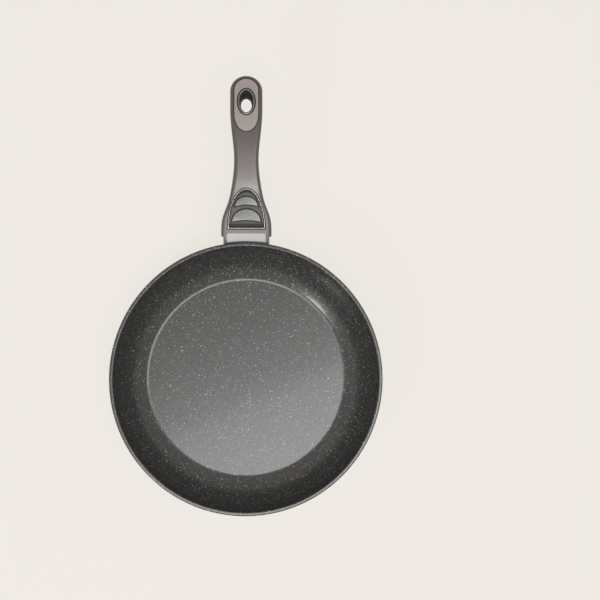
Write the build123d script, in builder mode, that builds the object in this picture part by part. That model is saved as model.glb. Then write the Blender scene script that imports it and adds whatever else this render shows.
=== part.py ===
"""Frying pan: a forged aluminium body, a perforated induction base and a handle that pulls off.

Units are millimetres and +Z is up. The origin is the centre of the base, on the surface that the
pan stands on, and the handle points along +Y. The bracket, the handle's lower half and everything
inside it share one tilted frame: u runs outwards along the bracket, w is square to it and upwards,
and x stays the row's X. Its origin is the bracket's seat on the pan's wall.
"""

from build123d import *

import os
from math import atan2, cos, hypot, radians, sin, sqrt

# Pan body
RIM_RADIUS = 140.0
PAN_HEIGHT = 50.0
WALL_THICKNESS = 4.0
FLOOR_THICKNESS = 5.0
RIM_WALL_ANGLE = 82.0
FLOOR_FILLET = 8.0
RIM_OUTER_ROUND = 1.5
RIM_INNER_ROUND = 1.1
RING_GROOVE_WIDTH = 0.5
RING_GROOVE_DEPTH = 0.5
BEVEL_HEIGHT = 4.5

# Base radii, counted inwards from the rim
WALL_RUN = 28.5
BEVEL_RUN = 8.0
GROUND_RING_WIDTH = 7.0
BEVEL_RADIUS = RIM_RADIUS - WALL_RUN
GROUND_RING_RADIUS = BEVEL_RADIUS - BEVEL_RUN

# Induction disc: rings of holes, each with six more than the ring inside it
DISC_RADIUS = GROUND_RING_RADIUS - GROUND_RING_WIDTH
DISC_THICKNESS = 0.8
DISC_CLEARANCE = 0.1
HOLE_RADIUS = 1.95
STUD_CLEARANCE = 0.1
DISC_MARGIN = 5.0
CENTRE_MARGIN = 4.0
RING_PITCH = 7.9
OUTER_RING_RADIUS = DISC_RADIUS - DISC_MARGIN
HOLE_RINGS = int((OUTER_RING_RADIUS - CENTRE_MARGIN) / RING_PITCH) + 1
INNER_RING_HOLES = 4
MORE_HOLES_PER_RING = 6

# Bracket frame, which hangs on the rim
BRACKET_TILT = 18.0
SEAT_UNDER_RIM = 3.0
SEAT_DROP = 14.0
SEAT_Y = RIM_RADIUS - SEAT_UNDER_RIM
SEAT_Z = PAN_HEIGHT - SEAT_DROP
REACH_INTO_PAN = 14.0
SEAT_GAP = 0.05

# Bracket sleeve, a drawn steel cup
SLEEVE_WIDTH = 47.6
SLEEVE_HEIGHT = 16.5
SLEEVE_CORNER = 4.5
SLEEVE_WALL = 1.5
SLEEVE_END = 27.0

# Tongue bracket and the studs that hold it
SADDLE_SIDE_GAP = 0.3
SADDLE_END = 8.0
TONGUE_WIDTH = 20.0
TONGUE_THICKNESS = 4.0
TONGUE_CENTRE = -1.0
TONGUE_END = 60.0
TONGUE_LEAD = 1.2
SLOT_START = 48.0
SLOT_LENGTH = 5.0
SLOT_WIDTH = 10.0
STUD_RADIUS = 2.5
STUD_OFFSET = 15.5
STUD_HOLE_GAP = 0.2
WASHER_RADIUS = 4.5
WASHER_THICKNESS = 1.2
WASHER_SPLIT = 0.8
NUT_FLATS = 8.0
NUT_HEIGHT = 4.0
NUT_THREAD_GAP = 0.05
STUD_PROUD = 1.2

# Handle grip: half widths at distances out from the seat, and its top and bottom lines in u and w
MOUTH_HALF_WIDTH = 25.8
FLARE_HALF_WIDTHS = (24.3, 18.9, 15.1)
FLARE_STATIONS = (25.3, 41.5, 57.4)
WAIST_HALF_WIDTH = 12.4
WAIST_STATION = 87.0
HEEL_HALF_WIDTH = 15.6
HEEL_STATION = 121.0
TIP_RADIUS = 16.4
TIP_SHOULDER = 139.0
TIP_CENTRE = 155.6
DECK_HEIGHT = 13.6
DECK_END = 58.0
TOP_LINE = ((82.2, 10.4), (107.5, 4.2), (130.1, -4.1), (152.0, -14.5))
TOP_END = (178.9, -28.7)
BELLY_DEPTH = 12.0
BELLY_END = 42.0
BOTTOM_LINE = ((72.0, -11.0), (99.8, -13.2), (123.9, -20.1), (146.5, -31.2))
BOTTOM_END = (171.6, -44.8)
TIP_DIP = 10.5
TOP_ROUND = 4.0
BOTTOM_ROUND = 6.0

# Mouth of the grip, slanted back towards its underside
MOUTH_TOP = 12.4
MOUTH_BOTTOM = 18.4
MOUTH_NOTCH = 4.0
MOUTH_NOTCH_WIDTH = 42.0
LIP_FACET = 8.6
LIP_RISE = 1.0
SLIDING_GAP = 0.3

# Receiver channel and its screw, inside the grip
RECEIVER_WALL = 1.5
RECEIVER_END = 64.0
FLANGE_HALF_WIDTH = 20.0
FLANGE_THICKNESS = 2.0
FLANGE_TOP = 4.6
FLANGE_BOTTOM = -9.4
CAVITY_TOP = 8.2
CAVITY_END_GAP = 0.6
PRESS_GAP = 0.05
SCREW_RADIUS = 1.5
SCREW_HEAD_RADIUS = 2.75
SCREW_HEAD_HEIGHT = 1.8
SCREW_TILT = 11.0
SCREW_FRONT = -6.7
SCOOP_START = 40.5
SCOOP_LENGTH = 17.8
SCOOP_HALF_WIDTH = 10.3
SCOOP_DEPTH = 5.6
SCOOP_LIP_HALF_WIDTH = 4.9
SCOOP_LIP_DEPTH = 0.5

# Release slide in its arched window
SLIDE_TRAVEL = 3.6
SLIDE_GAP = 0.2
FLOOR_TOP = 9.6
WINDOW_BASE = 22.2
WINDOW_HALF_WIDTH = 18.3
WINDOW_HEIGHT = 40.0
BUTTON_SETBACK = 3.8
BEZEL_WIDTH = 1.6
BEZEL_PROUD = 0.3
BEZEL_FIT = 0.15
FLANGE_PLATE = 1.6
FLANGE_OVERLAP = 0.8
BUTTON_FRONT = 27.0
BUTTON_TOP = 13.2
PAD_SEAT = 12.0
PAD_GAP = 0.15
PAD_ROUND = 0.5
LOWER_PAD = {"centre": 28.6, "half_width": 14.8, "height": 13.2, "sag": 1.8, "back": 13.5, "front": 15.4}
UPPER_PAD = {"centre": 44.6, "half_width": 11.6, "height": 10.2, "sag": 1.8, "back": 13.5, "front": 15.0}

# Catch leaf, its rivets, the fork that lifts it and the return spring
LEAF_THICKNESS = 0.8
LEAF_HALF_WIDTH = 4.5
LEAF_START = 31.0
NOSE_REACH = 1.8
NOSE_START = 48.3
NOSE_LENGTH = 4.4
NOSE_TIP = 1.2
WING_HALF_WIDTH = 8.2
WING_RISE = 1.1
WING_BEND = 1.2
WING_LENGTH = 3.2
RIVET_RADIUS = 1.2
RIVET_HEAD_RADIUS = 2.0
RIVET_HEAD_HEIGHT = 0.7
RIVET_OFFSET = 2.4
RIVET_STATION = 34.0
FORK_START = 34.0
FORK_BRIDGE_END = 42.0
FORK_LEG_START = 38.0
FORK_END = 53.7
FORK_LEG_INNER = 5.9
FORK_LEG = 1.5
FORK_PLATE = 0.9
FORK_TOE = 0.6
FORK_RAMP = 3.2
FORK_SLOPE = 3.0
FORK_SCREW_STATION = 37.5
FORK_SCREW_OFFSET = 4.0
FORK_SCREW_RADIUS = 1.0
FORK_SCREW_HEAD_RADIUS = 1.9
FORK_SCREW_HEAD_HEIGHT = 0.9
FORK_SCREW_DRIVE = 0.6
SPRING_RADIUS = 1.4
SPRING_WIRE = 0.5
SPRING_TURNS = 8
SPRING_HEIGHT = 9.4
SPRING_FRONT = 45.6
SPRING_LENGTH = 13.2
PEG_LENGTH = 1.4
PEG_RADIUS = 0.75
POST_LENGTH = 2.0
POST_HALF_WIDTH = 1.3
POST_TOP = 10.7

# Tip plate and hanging eyelet
HOLE_STATION = 144.0
HOLE_RISE = 34.0
HOLE_LEAN = 8.5
HOLE_HALF_WIDTH = 6.4
HOLE_HALF_LENGTH = 11.2
EYELET_HALF_WIDTH = 9.0
EYELET_HALF_LENGTH = 13.8
EYELET_PROUD = 0.9
EYELET_DEPTH = 3.0
PLATE_HALF_WIDTH = 12.2
PLATE_TOP_CENTRE = 156.0
PLATE_BOTTOM_CENTRE = 130.5
PLATE_BOTTOM_LENGTH = 16.0
PLATE_PROUD = 0.25
PLATE_DEPTH = 1.3
INLAY_GAP = 0.15
PLATE_GROOVE = 0.5

TILT = radians(BRACKET_TILT)
TALL = 2 * (SEAT_Z + TOP_END[0] * sin(TILT))
OUTWARDS = Vector(0, cos(TILT), sin(TILT))
UPWARDS = Vector(0, -sin(TILT), cos(TILT))
SEAT = Vector(0, SEAT_Y, SEAT_Z)


def across(u: float, w: float = 0.0) -> Plane:
    """Plane square to the bracket at u, with local y upwards from height w."""
    return Plane(origin=SEAT + OUTWARDS * u + UPWARDS * w, x_dir=(-1, 0, 0), z_dir=OUTWARDS)


def deck(w: float) -> Plane:
    """Plane along the bracket at height w, with local x as X and local y as u."""
    return Plane(origin=SEAT + UPWARDS * w, x_dir=(1, 0, 0), z_dir=UPWARDS)


def side(lift: float = 0.0) -> Plane:
    """The bracket's mid plane, lifted along Z, with local x as u and local y as w."""
    return Plane(origin=SEAT + Vector(0, 0, lift), x_dir=OUTWARDS, z_dir=(1, 0, 0))


def wall_arc() -> tuple[float, float, float]:
    """Centre (r, z) and radius of the outer wall's arc, from the bevel's edge to the rim."""
    run = RIM_RADIUS - BEVEL_RADIUS
    rise = PAN_HEIGHT - BEVEL_HEIGHT
    rim_angle = radians(RIM_WALL_ANGLE)
    radius = hypot(run, rise) / (2 * sin(rim_angle - atan2(rise, run)))
    return RIM_RADIUS - radius * sin(rim_angle), PAN_HEIGHT + radius * cos(rim_angle), radius


ARC_R, ARC_Z, ARC_RADIUS = wall_arc()


def wall_point(height: float, outwards: float = 0.0) -> tuple[float, float]:
    """Point (r, z) of the outer wall at a height, moved outwards by a distance."""
    radius = ARC_RADIUS + outwards
    return ARC_R + sqrt(radius**2 - (height - ARC_Z) ** 2), height


def pan_envelope(outwards: float) -> Part:
    """The pan's outer shape as a solid of revolution, grown outwards, for trimming what seats on it."""
    low = BEVEL_HEIGHT + outwards
    with BuildPart() as envelope:
        with BuildSketch(Plane.XZ):
            with BuildLine():
                Polyline((0, PAN_HEIGHT), (0, low), wall_point(low, outwards))
                ThreePointArc(
                    wall_point(low, outwards),
                    wall_point((low + PAN_HEIGHT) / 2, outwards),
                    wall_point(PAN_HEIGHT, outwards),
                )
                Line(wall_point(PAN_HEIGHT, outwards), (0, PAN_HEIGHT))
            make_face()
        revolve(axis=Axis.Z)
    return envelope.part


def disc_holes(radius: float) -> None:
    """Takes the rings of holes out of the sketch in hand."""
    for ring in range(HOLE_RINGS):
        ring_radius = OUTER_RING_RADIUS - RING_PITCH * (HOLE_RINGS - 1 - ring)
        with PolarLocations(ring_radius, INNER_RING_HOLES + MORE_HOLES_PER_RING * ring):
            Circle(radius, mode=Mode.SUBTRACT)


def arch(base: float, half_width: float, height: float) -> Sketch:
    """A half ellipse with its flat side at u = base."""
    with BuildSketch() as shape:
        with BuildLine():
            EllipticalCenterArc((0, base), half_width, height, 0, arc_size=180)
            Line((-half_width, base), (half_width, base))
        make_face()
    return shape.sketch


def crescent(pad: dict[str, float], outwards: float = 0.0) -> Sketch:
    """A thumb pad's crescent, grown outwards: a half ellipse over a shallow arc."""
    half_width = pad["half_width"] + outwards
    low = pad["centre"] - outwards
    high = pad["height"] + 2 * outwards
    with BuildSketch() as shape:
        with BuildLine():
            EllipticalCenterArc((0, low), half_width, high, 0, arc_size=180)
            ThreePointArc((-half_width, low), (0, low + pad["sag"]), (half_width, low))
        make_face()
    return shape.sketch


def ellipse_at_hole(half_width: float, half_length: float) -> Sketch:
    """An upright ellipse round the hanging hole's centre."""
    with BuildSketch() as shape:
        with Locations((0, SEAT_Y + HOLE_STATION)):
            Ellipse(half_width, half_length)
    return shape.sketch


def plate_outline(outwards: float) -> Sketch:
    """The tip plate's outline, grown outwards: round at the tip, tapered towards the waist."""
    half = PLATE_HALF_WIDTH + outwards
    taper = PLATE_BOTTOM_LENGTH + outwards
    with BuildSketch() as shape:
        top = SEAT_Y + PLATE_TOP_CENTRE
        bottom = SEAT_Y + PLATE_BOTTOM_CENTRE
        with BuildLine():
            CenterArc((0, top), half, 0, 180)
            Line((-half, top), (-half, bottom))
            EllipticalCenterArc((0, bottom), half, taper, 180, arc_size=180)
            Line((half, bottom), (half, top))
        make_face()
    return shape.sketch


def grip_profile(lift: float = 0.0) -> Part:
    """The grip's side view as a wide slab, lifted along Z."""
    dip = TILT + radians(TIP_DIP)
    tip_slope = Vector(cos(dip), -sin(dip))
    with BuildPart() as slab:
        with BuildSketch(side(lift).offset(-MOUTH_HALF_WIDTH)):
            with BuildLine():
                Line((0, DECK_HEIGHT), (DECK_END, DECK_HEIGHT))
                Spline(
                    (DECK_END, DECK_HEIGHT),
                    *TOP_LINE,
                    TOP_END,
                    tangents=((1, 0), tip_slope),
                )
                Line(TOP_END, BOTTOM_END)
                Spline(
                    BOTTOM_END,
                    *reversed(BOTTOM_LINE),
                    (BELLY_END, -BELLY_DEPTH),
                    tangents=(-tip_slope, (-1, 0)),
                )
                Line((BELLY_END, -BELLY_DEPTH), (0, -BELLY_DEPTH))
                Line((0, -BELLY_DEPTH), (0, DECK_HEIGHT))
            make_face()
        extrude(amount=2 * MOUTH_HALF_WIDTH)
    return slab.part


def grip_outline() -> Sketch:
    """The grip's plan view, from inside the pan to the round tip."""
    stations = [
        (MOUTH_HALF_WIDTH, MOUTH_TOP),
        *zip(FLARE_HALF_WIDTHS, FLARE_STATIONS),
        (WAIST_HALF_WIDTH, WAIST_STATION),
        (HEEL_HALF_WIDTH, HEEL_STATION),
        (TIP_RADIUS, TIP_SHOULDER),
    ]
    right = [(x, SEAT_Y + distance) for x, distance in stations]
    left = [(-x, y) for x, y in right]
    tip = SEAT_Y + TIP_CENTRE
    start = (MOUTH_HALF_WIDTH, SEAT_Y - MOUTH_TOP)
    with BuildSketch() as shape:
        with BuildLine():
            Line(start, right[0])
            Spline(*right, tangents=((0, 1), (0, 1)))
            Line(right[-1], (TIP_RADIUS, tip))
            CenterArc((0, tip), TIP_RADIUS, 0, 180)
            Line((-TIP_RADIUS, tip), left[-1])
            Spline(*reversed(left), tangents=((0, -1), (0, -1)))
            Line(left[0], (-start[0], start[1]))
            Line((-start[0], start[1]), start)
        make_face()
    return shape.sketch


with BuildPart() as pan_body:
    inner_rim = wall_point(PAN_HEIGHT, -WALL_THICKNESS)
    inner_floor = wall_point(FLOOR_THICKNESS, -WALL_THICKNESS)
    with BuildSketch(Plane.XZ) as pan_section:
        with BuildLine():
            Polyline(
                (0, FLOOR_THICKNESS),
                (0, 0),
                (GROUND_RING_RADIUS, 0),
                (GROUND_RING_RADIUS, RING_GROOVE_DEPTH),
                (GROUND_RING_RADIUS + RING_GROOVE_WIDTH, RING_GROOVE_DEPTH),
                (BEVEL_RADIUS, BEVEL_HEIGHT),
            )
            ThreePointArc(
                (BEVEL_RADIUS, BEVEL_HEIGHT),
                wall_point((BEVEL_HEIGHT + PAN_HEIGHT) / 2),
                (RIM_RADIUS, PAN_HEIGHT),
            )
            Line((RIM_RADIUS, PAN_HEIGHT), inner_rim)
            ThreePointArc(
                inner_rim,
                wall_point((FLOOR_THICKNESS + PAN_HEIGHT) / 2, -WALL_THICKNESS),
                inner_floor,
            )
            Line(inner_floor, (0, FLOOR_THICKNESS))
        make_face()
        corners = pan_section.vertices()
        fillet(corners.sort_by_distance((*inner_floor, 0))[0], FLOOR_FILLET)
        corners = pan_section.vertices()
        fillet(corners.sort_by_distance((RIM_RADIUS, PAN_HEIGHT, 0))[0], RIM_OUTER_ROUND)
        corners = pan_section.vertices()
        fillet(corners.sort_by_distance((*inner_rim, 0))[0], RIM_INNER_ROUND)
    revolve(axis=Axis.Z)
    with BuildSketch(Plane.XY):
        Circle(DISC_RADIUS + DISC_CLEARANCE)
        disc_holes(HOLE_RADIUS - STUD_CLEARANCE)
    extrude(amount=DISC_THICKNESS, mode=Mode.SUBTRACT)

with BuildPart() as induction_disc:
    with BuildSketch(Plane.XY):
        Circle(DISC_RADIUS)
        disc_holes(HOLE_RADIUS)
    extrude(amount=DISC_THICKNESS - SEAT_GAP)


def sleeve_room(inset: float, outwards: float) -> Part:
    """The sleeve's outline moved in by an inset, from a skin over the pan's wall to its open end."""
    with BuildPart() as room:
        with BuildSketch(across(-REACH_INTO_PAN, TONGUE_CENTRE)):
            RectangleRounded(
                SLEEVE_WIDTH - 2 * inset, SLEEVE_HEIGHT - 2 * inset, SLEEVE_CORNER - inset
            )
        extrude(amount=REACH_INTO_PAN + SLEEVE_END)
        add(pan_envelope(outwards), mode=Mode.SUBTRACT)
    return room.part


def stud_shaft(radius: float, end: float) -> Part:
    """Both studs' shafts, from inside the pan's wall to an end."""
    with BuildPart() as shafts:
        with BuildSketch(across(-REACH_INTO_PAN, TONGUE_CENTRE)):
            with Locations((-STUD_OFFSET, 0), (STUD_OFFSET, 0)):
                Circle(radius)
        extrude(amount=REACH_INTO_PAN + end)
    return shafts.part


STUD_END = SADDLE_END + WASHER_THICKNESS + NUT_HEIGHT + STUD_PROUD
SKIN = SEAT_GAP + SLEEVE_WALL

with BuildPart() as bracket_sleeve:
    add(sleeve_room(0, SEAT_GAP))
    add(sleeve_room(SLEEVE_WALL, SKIN), mode=Mode.SUBTRACT)
    add(stud_shaft(STUD_RADIUS + STUD_HOLE_GAP, STUD_END), mode=Mode.SUBTRACT)

with BuildPart() as tongue_bracket:
    add(sleeve_room(SLEEVE_WALL + SADDLE_SIDE_GAP, SKIN + SEAT_GAP))
    with BuildSketch(across(SADDLE_END)):
        Rectangle(SLEEVE_WIDTH, 2 * SLEEVE_HEIGHT)
    extrude(amount=SLEEVE_END, mode=Mode.SUBTRACT)
    with BuildSketch(across(SADDLE_END, TONGUE_CENTRE)):
        Rectangle(TONGUE_WIDTH, TONGUE_THICKNESS)
    extrude(amount=TONGUE_END - SADDLE_END)
    tongue_tip = tongue_bracket.faces().sort_by_distance(SEAT + OUTWARDS * TONGUE_END)[0]
    chamfer(tongue_tip.edges().filter_by(Axis.X), TONGUE_LEAD)
    with BuildSketch(deck(TONGUE_CENTRE - TONGUE_THICKNESS)):
        with Locations((0, SLOT_START + SLOT_LENGTH / 2)):
            Rectangle(SLOT_WIDTH, SLOT_LENGTH)
    extrude(amount=2 * TONGUE_THICKNESS, mode=Mode.SUBTRACT)
    add(stud_shaft(STUD_RADIUS + STUD_HOLE_GAP, STUD_END), mode=Mode.SUBTRACT)

with BuildPart() as wall_studs:
    add(stud_shaft(STUD_RADIUS, STUD_END))
    add(pan_envelope(SEAT_GAP), mode=Mode.SUBTRACT)

with BuildPart() as lock_washers:
    with BuildSketch(across(SADDLE_END + SEAT_GAP, TONGUE_CENTRE)):
        with Locations((-STUD_OFFSET, 0), (STUD_OFFSET, 0)):
            Circle(WASHER_RADIUS)
            Circle(STUD_RADIUS + STUD_HOLE_GAP, mode=Mode.SUBTRACT)
            with Locations((0, WASHER_RADIUS / 2)):
                Rectangle(WASHER_SPLIT, WASHER_RADIUS, mode=Mode.SUBTRACT)
    extrude(amount=WASHER_THICKNESS - SEAT_GAP)

with BuildPart() as stud_nuts:
    with BuildSketch(across(SADDLE_END + WASHER_THICKNESS + SEAT_GAP, TONGUE_CENTRE)):
        with Locations((-STUD_OFFSET, 0), (STUD_OFFSET, 0)):
            RegularPolygon(NUT_FLATS / 2, 6, major_radius=False)
            Circle(STUD_RADIUS + NUT_THREAD_GAP, mode=Mode.SUBTRACT)
    extrude(amount=NUT_HEIGHT)

# The receiver's outer box, and where its flange stands in the grip
TONGUE_TOP = TONGUE_CENTRE + TONGUE_THICKNESS / 2
BORE_WIDTH = TONGUE_WIDTH + 2 * SLIDING_GAP
BORE_HEIGHT = TONGUE_THICKNESS + 2 * SLIDING_GAP
RECEIVER_WIDTH = BORE_WIDTH + 2 * RECEIVER_WALL
RECEIVER_HEIGHT = BORE_HEIGHT + 2 * RECEIVER_WALL
RECEIVER_TOP = TONGUE_CENTRE + RECEIVER_HEIGHT / 2
FLANGE_START = SLEEVE_END + SLIDING_GAP
FLANGE_END = FLANGE_START + FLANGE_THICKNESS
LEAF_BOTTOM = RECEIVER_TOP + SEAT_GAP
LEAF_TOP = LEAF_BOTTOM + LEAF_THICKNESS
NOSE_END = NOSE_START + NOSE_LENGTH
WING_START = NOSE_END + WING_BEND
WING_END = WING_START + WING_LENGTH

screw_axis = OUTWARDS * cos(radians(SCREW_TILT)) - UPWARDS * sin(radians(SCREW_TILT))
screw_seat = Plane(
    origin=SEAT + OUTWARDS * FLANGE_START + UPWARDS * SCREW_FRONT,
    x_dir=(1, 0, 0),
    z_dir=screw_axis,
)
SCREW_LENGTH = (SCOOP_START - FLANGE_START) / cos(radians(SCREW_TILT)) - SCREW_HEAD_HEIGHT / 2

with BuildPart() as receiver_channel:
    with BuildSketch(across(FLANGE_START, TONGUE_CENTRE)):
        Rectangle(RECEIVER_WIDTH, RECEIVER_HEIGHT)
    extrude(amount=RECEIVER_END - FLANGE_START)
    with BuildSketch(across(FLANGE_START, (FLANGE_TOP + FLANGE_BOTTOM) / 2)):
        RectangleRounded(2 * FLANGE_HALF_WIDTH, FLANGE_TOP - FLANGE_BOTTOM, SLEEVE_CORNER / 2)
    extrude(amount=FLANGE_THICKNESS)
    with BuildSketch(across(FLANGE_START, TONGUE_CENTRE)):
        Rectangle(BORE_WIDTH, BORE_HEIGHT)
    extrude(amount=RECEIVER_END - FLANGE_START, mode=Mode.SUBTRACT)
    with BuildSketch(deck(TONGUE_TOP)):
        with Locations((0, (NOSE_START + WING_END) / 2)):
            Rectangle(
                2 * (LEAF_HALF_WIDTH + SLIDING_GAP), WING_END - NOSE_START + 2 * SLIDING_GAP
            )
        with Locations((-RIVET_OFFSET, RIVET_STATION), (RIVET_OFFSET, RIVET_STATION)):
            Circle(RIVET_RADIUS + SEAT_GAP)
    extrude(amount=RECEIVER_HEIGHT / 2, mode=Mode.SUBTRACT)
    with BuildSketch(screw_seat.offset(-FLANGE_THICKNESS)):
        Circle(SCREW_RADIUS + SEAT_GAP)
    extrude(amount=3 * FLANGE_THICKNESS, mode=Mode.SUBTRACT)

with BuildPart() as receiver_screw:
    with BuildSketch(screw_seat.offset(SLIDING_GAP)):
        Circle(SCREW_RADIUS)
    extrude(amount=SCREW_LENGTH - SLIDING_GAP)
    with BuildSketch(screw_seat.offset(SCREW_LENGTH)):
        Circle(SCREW_HEAD_RADIUS)
    extrude(amount=SCREW_HEAD_HEIGHT)
    with BuildSketch(screw_seat.offset(SCREW_LENGTH + SCREW_HEAD_HEIGHT)):
        RegularPolygon(SCREW_RADIUS, 6, rotation=30)
    extrude(amount=-SCREW_HEAD_HEIGHT / 2, mode=Mode.SUBTRACT)

with BuildPart() as catch_leaf:
    with BuildSketch(side()):
        with BuildLine():
            Polyline(
                (LEAF_START, LEAF_TOP),
                (LEAF_START, LEAF_BOTTOM),
                (NOSE_START, LEAF_BOTTOM),
                (NOSE_END - NOSE_TIP, TONGUE_TOP - NOSE_REACH),
                (NOSE_END, TONGUE_TOP - NOSE_REACH),
                (NOSE_END, LEAF_BOTTOM),
                (WING_START, LEAF_BOTTOM + WING_RISE),
                (WING_END, LEAF_BOTTOM + WING_RISE),
                (WING_END, LEAF_TOP + WING_RISE),
                (WING_START, LEAF_TOP + WING_RISE),
                (NOSE_END, LEAF_TOP),
                (LEAF_START, LEAF_TOP),
            )
        make_face()
    extrude(amount=LEAF_HALF_WIDTH, both=True)
    with BuildSketch(deck(LEAF_BOTTOM + WING_RISE)):
        with Locations((0, WING_START + WING_LENGTH / 2)):
            Rectangle(2 * WING_HALF_WIDTH, WING_LENGTH)
    extrude(amount=LEAF_THICKNESS)
    with BuildSketch(deck(LEAF_BOTTOM)):
        with Locations((-RIVET_OFFSET, RIVET_STATION), (RIVET_OFFSET, RIVET_STATION)):
            Circle(RIVET_RADIUS + SEAT_GAP)
    extrude(amount=LEAF_THICKNESS, mode=Mode.SUBTRACT)

with BuildPart() as catch_rivets:
    with BuildSketch(deck(TONGUE_TOP + SLIDING_GAP)):
        with Locations((-RIVET_OFFSET, RIVET_STATION), (RIVET_OFFSET, RIVET_STATION)):
            Circle(RIVET_RADIUS)
    extrude(amount=LEAF_TOP - TONGUE_TOP)
    with BuildSketch(deck(LEAF_TOP + SEAT_GAP)):
        with Locations((-RIVET_OFFSET, RIVET_STATION), (RIVET_OFFSET, RIVET_STATION)):
            Circle(RIVET_HEAD_RADIUS)
    extrude(amount=RIVET_HEAD_HEIGHT)

# Heights of the slide and of the grip's pocket round it
BUTTON_BOTTOM = FLOOR_TOP + SLIDE_GAP
PLATE_TOP = BUTTON_BOTTOM + FLANGE_PLATE
LEDGE_TOP = PLATE_TOP + SLIDE_GAP
POCKET_SIDE = FLANGE_OVERLAP + SLIDE_GAP
POST_START = SPRING_FRONT + SPRING_LENGTH
FORK_TOP = BUTTON_BOTTOM - SEAT_GAP
FORK_BOTTOM = FORK_TOP - FORK_PLATE
FORK_FOOT = RECEIVER_TOP + SLIDE_GAP
FORK_HALF_WIDTH = FORK_LEG_INNER + FORK_LEG

with BuildPart() as slide_button:
    with BuildSketch(deck(BUTTON_BOTTOM)) as button_plan:
        add(
            arch(
                WINDOW_BASE - BUTTON_SETBACK,
                WINDOW_HALF_WIDTH - SLIDE_GAP,
                WINDOW_HEIGHT - SLIDE_GAP,
            )
        )
        with Locations((0, BUTTON_FRONT - WINDOW_HEIGHT / 2)):
            Rectangle(3 * WINDOW_HALF_WIDTH, WINDOW_HEIGHT, mode=Mode.SUBTRACT)
    extrude(amount=BUTTON_TOP - BUTTON_BOTTOM)
    top_rim = slide_button.faces().sort_by(Axis(SEAT, UPWARDS))[-1].edges()
    fillet(top_rim, PAD_ROUND)
    with BuildSketch(deck(BUTTON_BOTTOM)):
        add(
            arch(
                WINDOW_BASE - BUTTON_SETBACK,
                WINDOW_HALF_WIDTH - SLIDE_GAP + FLANGE_OVERLAP,
                WINDOW_HEIGHT - SLIDE_GAP + FLANGE_OVERLAP,
            )
        )
        with Locations((0, BUTTON_FRONT - FLANGE_OVERLAP - WINDOW_HEIGHT / 2)):
            Rectangle(3 * WINDOW_HALF_WIDTH, WINDOW_HEIGHT, mode=Mode.SUBTRACT)
    extrude(amount=FLANGE_PLATE)
    with BuildSketch(deck(PAD_SEAT)):
        add(crescent(LOWER_PAD, PAD_GAP))
    extrude(amount=BUTTON_TOP, mode=Mode.SUBTRACT)
    with BuildSketch(deck(PAD_SEAT)):
        add(crescent(UPPER_PAD, PAD_GAP))
    extrude(amount=BUTTON_TOP, mode=Mode.SUBTRACT)
    with BuildSketch(deck(BUTTON_BOTTOM)):
        with Locations((0, SPRING_FRONT + WINDOW_HEIGHT / 2)):
            Rectangle(2 * (SPRING_RADIUS + SLIDE_GAP), WINDOW_HEIGHT)
    extrude(
        amount=SPRING_HEIGHT + SPRING_RADIUS + SLIDE_GAP - BUTTON_BOTTOM, mode=Mode.SUBTRACT
    )
    with BuildSketch(deck(BUTTON_BOTTOM)):
        with Locations(
            (-FORK_SCREW_OFFSET, FORK_SCREW_STATION), (FORK_SCREW_OFFSET, FORK_SCREW_STATION)
        ):
            Circle(FORK_SCREW_RADIUS + STUD_CLEARANCE)
    extrude(amount=PAD_SEAT - BUTTON_BOTTOM, mode=Mode.SUBTRACT)
    with BuildSketch(deck(PAD_SEAT - FORK_SCREW_HEAD_HEIGHT - SEAT_GAP)):
        with Locations(
            (-FORK_SCREW_OFFSET, FORK_SCREW_STATION), (FORK_SCREW_OFFSET, FORK_SCREW_STATION)
        ):
            Circle(FORK_SCREW_HEAD_RADIUS + STUD_CLEARANCE)
    extrude(amount=FORK_SCREW_HEAD_HEIGHT + SEAT_GAP, mode=Mode.SUBTRACT)


def thumb_pad(pad: dict[str, float]) -> Part:
    """A thumb pad: its crescent, under a top that rises towards the pan."""
    tip = pad["centre"] + pad["height"]
    with BuildPart() as solid:
        with BuildSketch(deck(PAD_SEAT + SEAT_GAP)):
            add(crescent(pad))
        extrude(amount=pad["front"])
        with BuildSketch(side()):
            with BuildLine():
                Polyline(
                    (pad["centre"], pad["front"]),
                    (tip, pad["back"]),
                    (tip, 0),
                    (pad["centre"], 0),
                    (pad["centre"], pad["front"]),
                )
            make_face()
        extrude(amount=WINDOW_HALF_WIDTH, both=True, mode=Mode.INTERSECT)
        highest = solid.faces().sort_by(Axis(SEAT, UPWARDS))[-1]
        fillet(highest.edges(), PAD_ROUND)
    return solid.part


with BuildPart() as lower_pad:
    add(thumb_pad(LOWER_PAD))

with BuildPart() as upper_pad:
    add(thumb_pad(UPPER_PAD))

with BuildPart() as release_fork:
    with BuildSketch(side().offset(FORK_LEG_INNER)):
        with BuildLine():
            Polyline(
                (FORK_LEG_START, FORK_TOP),
                (FORK_LEG_START, FORK_FOOT),
                (FORK_END, FORK_FOOT),
                (FORK_END, FORK_FOOT + FORK_TOE),
                (FORK_END - FORK_RAMP, FORK_FOOT + FORK_TOE + FORK_RAMP),
                (FORK_BRIDGE_END + FORK_SLOPE, FORK_FOOT + FORK_TOE + FORK_RAMP),
                (FORK_BRIDGE_END, FORK_TOP),
                (FORK_LEG_START, FORK_TOP),
            )
        make_face()
    extrude(amount=FORK_LEG)
    mirror(about=Plane.YZ)
    with BuildSketch(deck(FORK_BOTTOM)):
        with Locations((0, (FORK_START + FORK_BRIDGE_END) / 2)):
            Rectangle(2 * FORK_HALF_WIDTH, FORK_BRIDGE_END - FORK_START)
    extrude(amount=FORK_PLATE)
    with BuildSketch(deck(FORK_BOTTOM)):
        with Locations(
            (-FORK_SCREW_OFFSET, FORK_SCREW_STATION), (FORK_SCREW_OFFSET, FORK_SCREW_STATION)
        ):
            Circle(FORK_SCREW_RADIUS + SEAT_GAP)
    extrude(amount=FORK_PLATE, mode=Mode.SUBTRACT)

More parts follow.
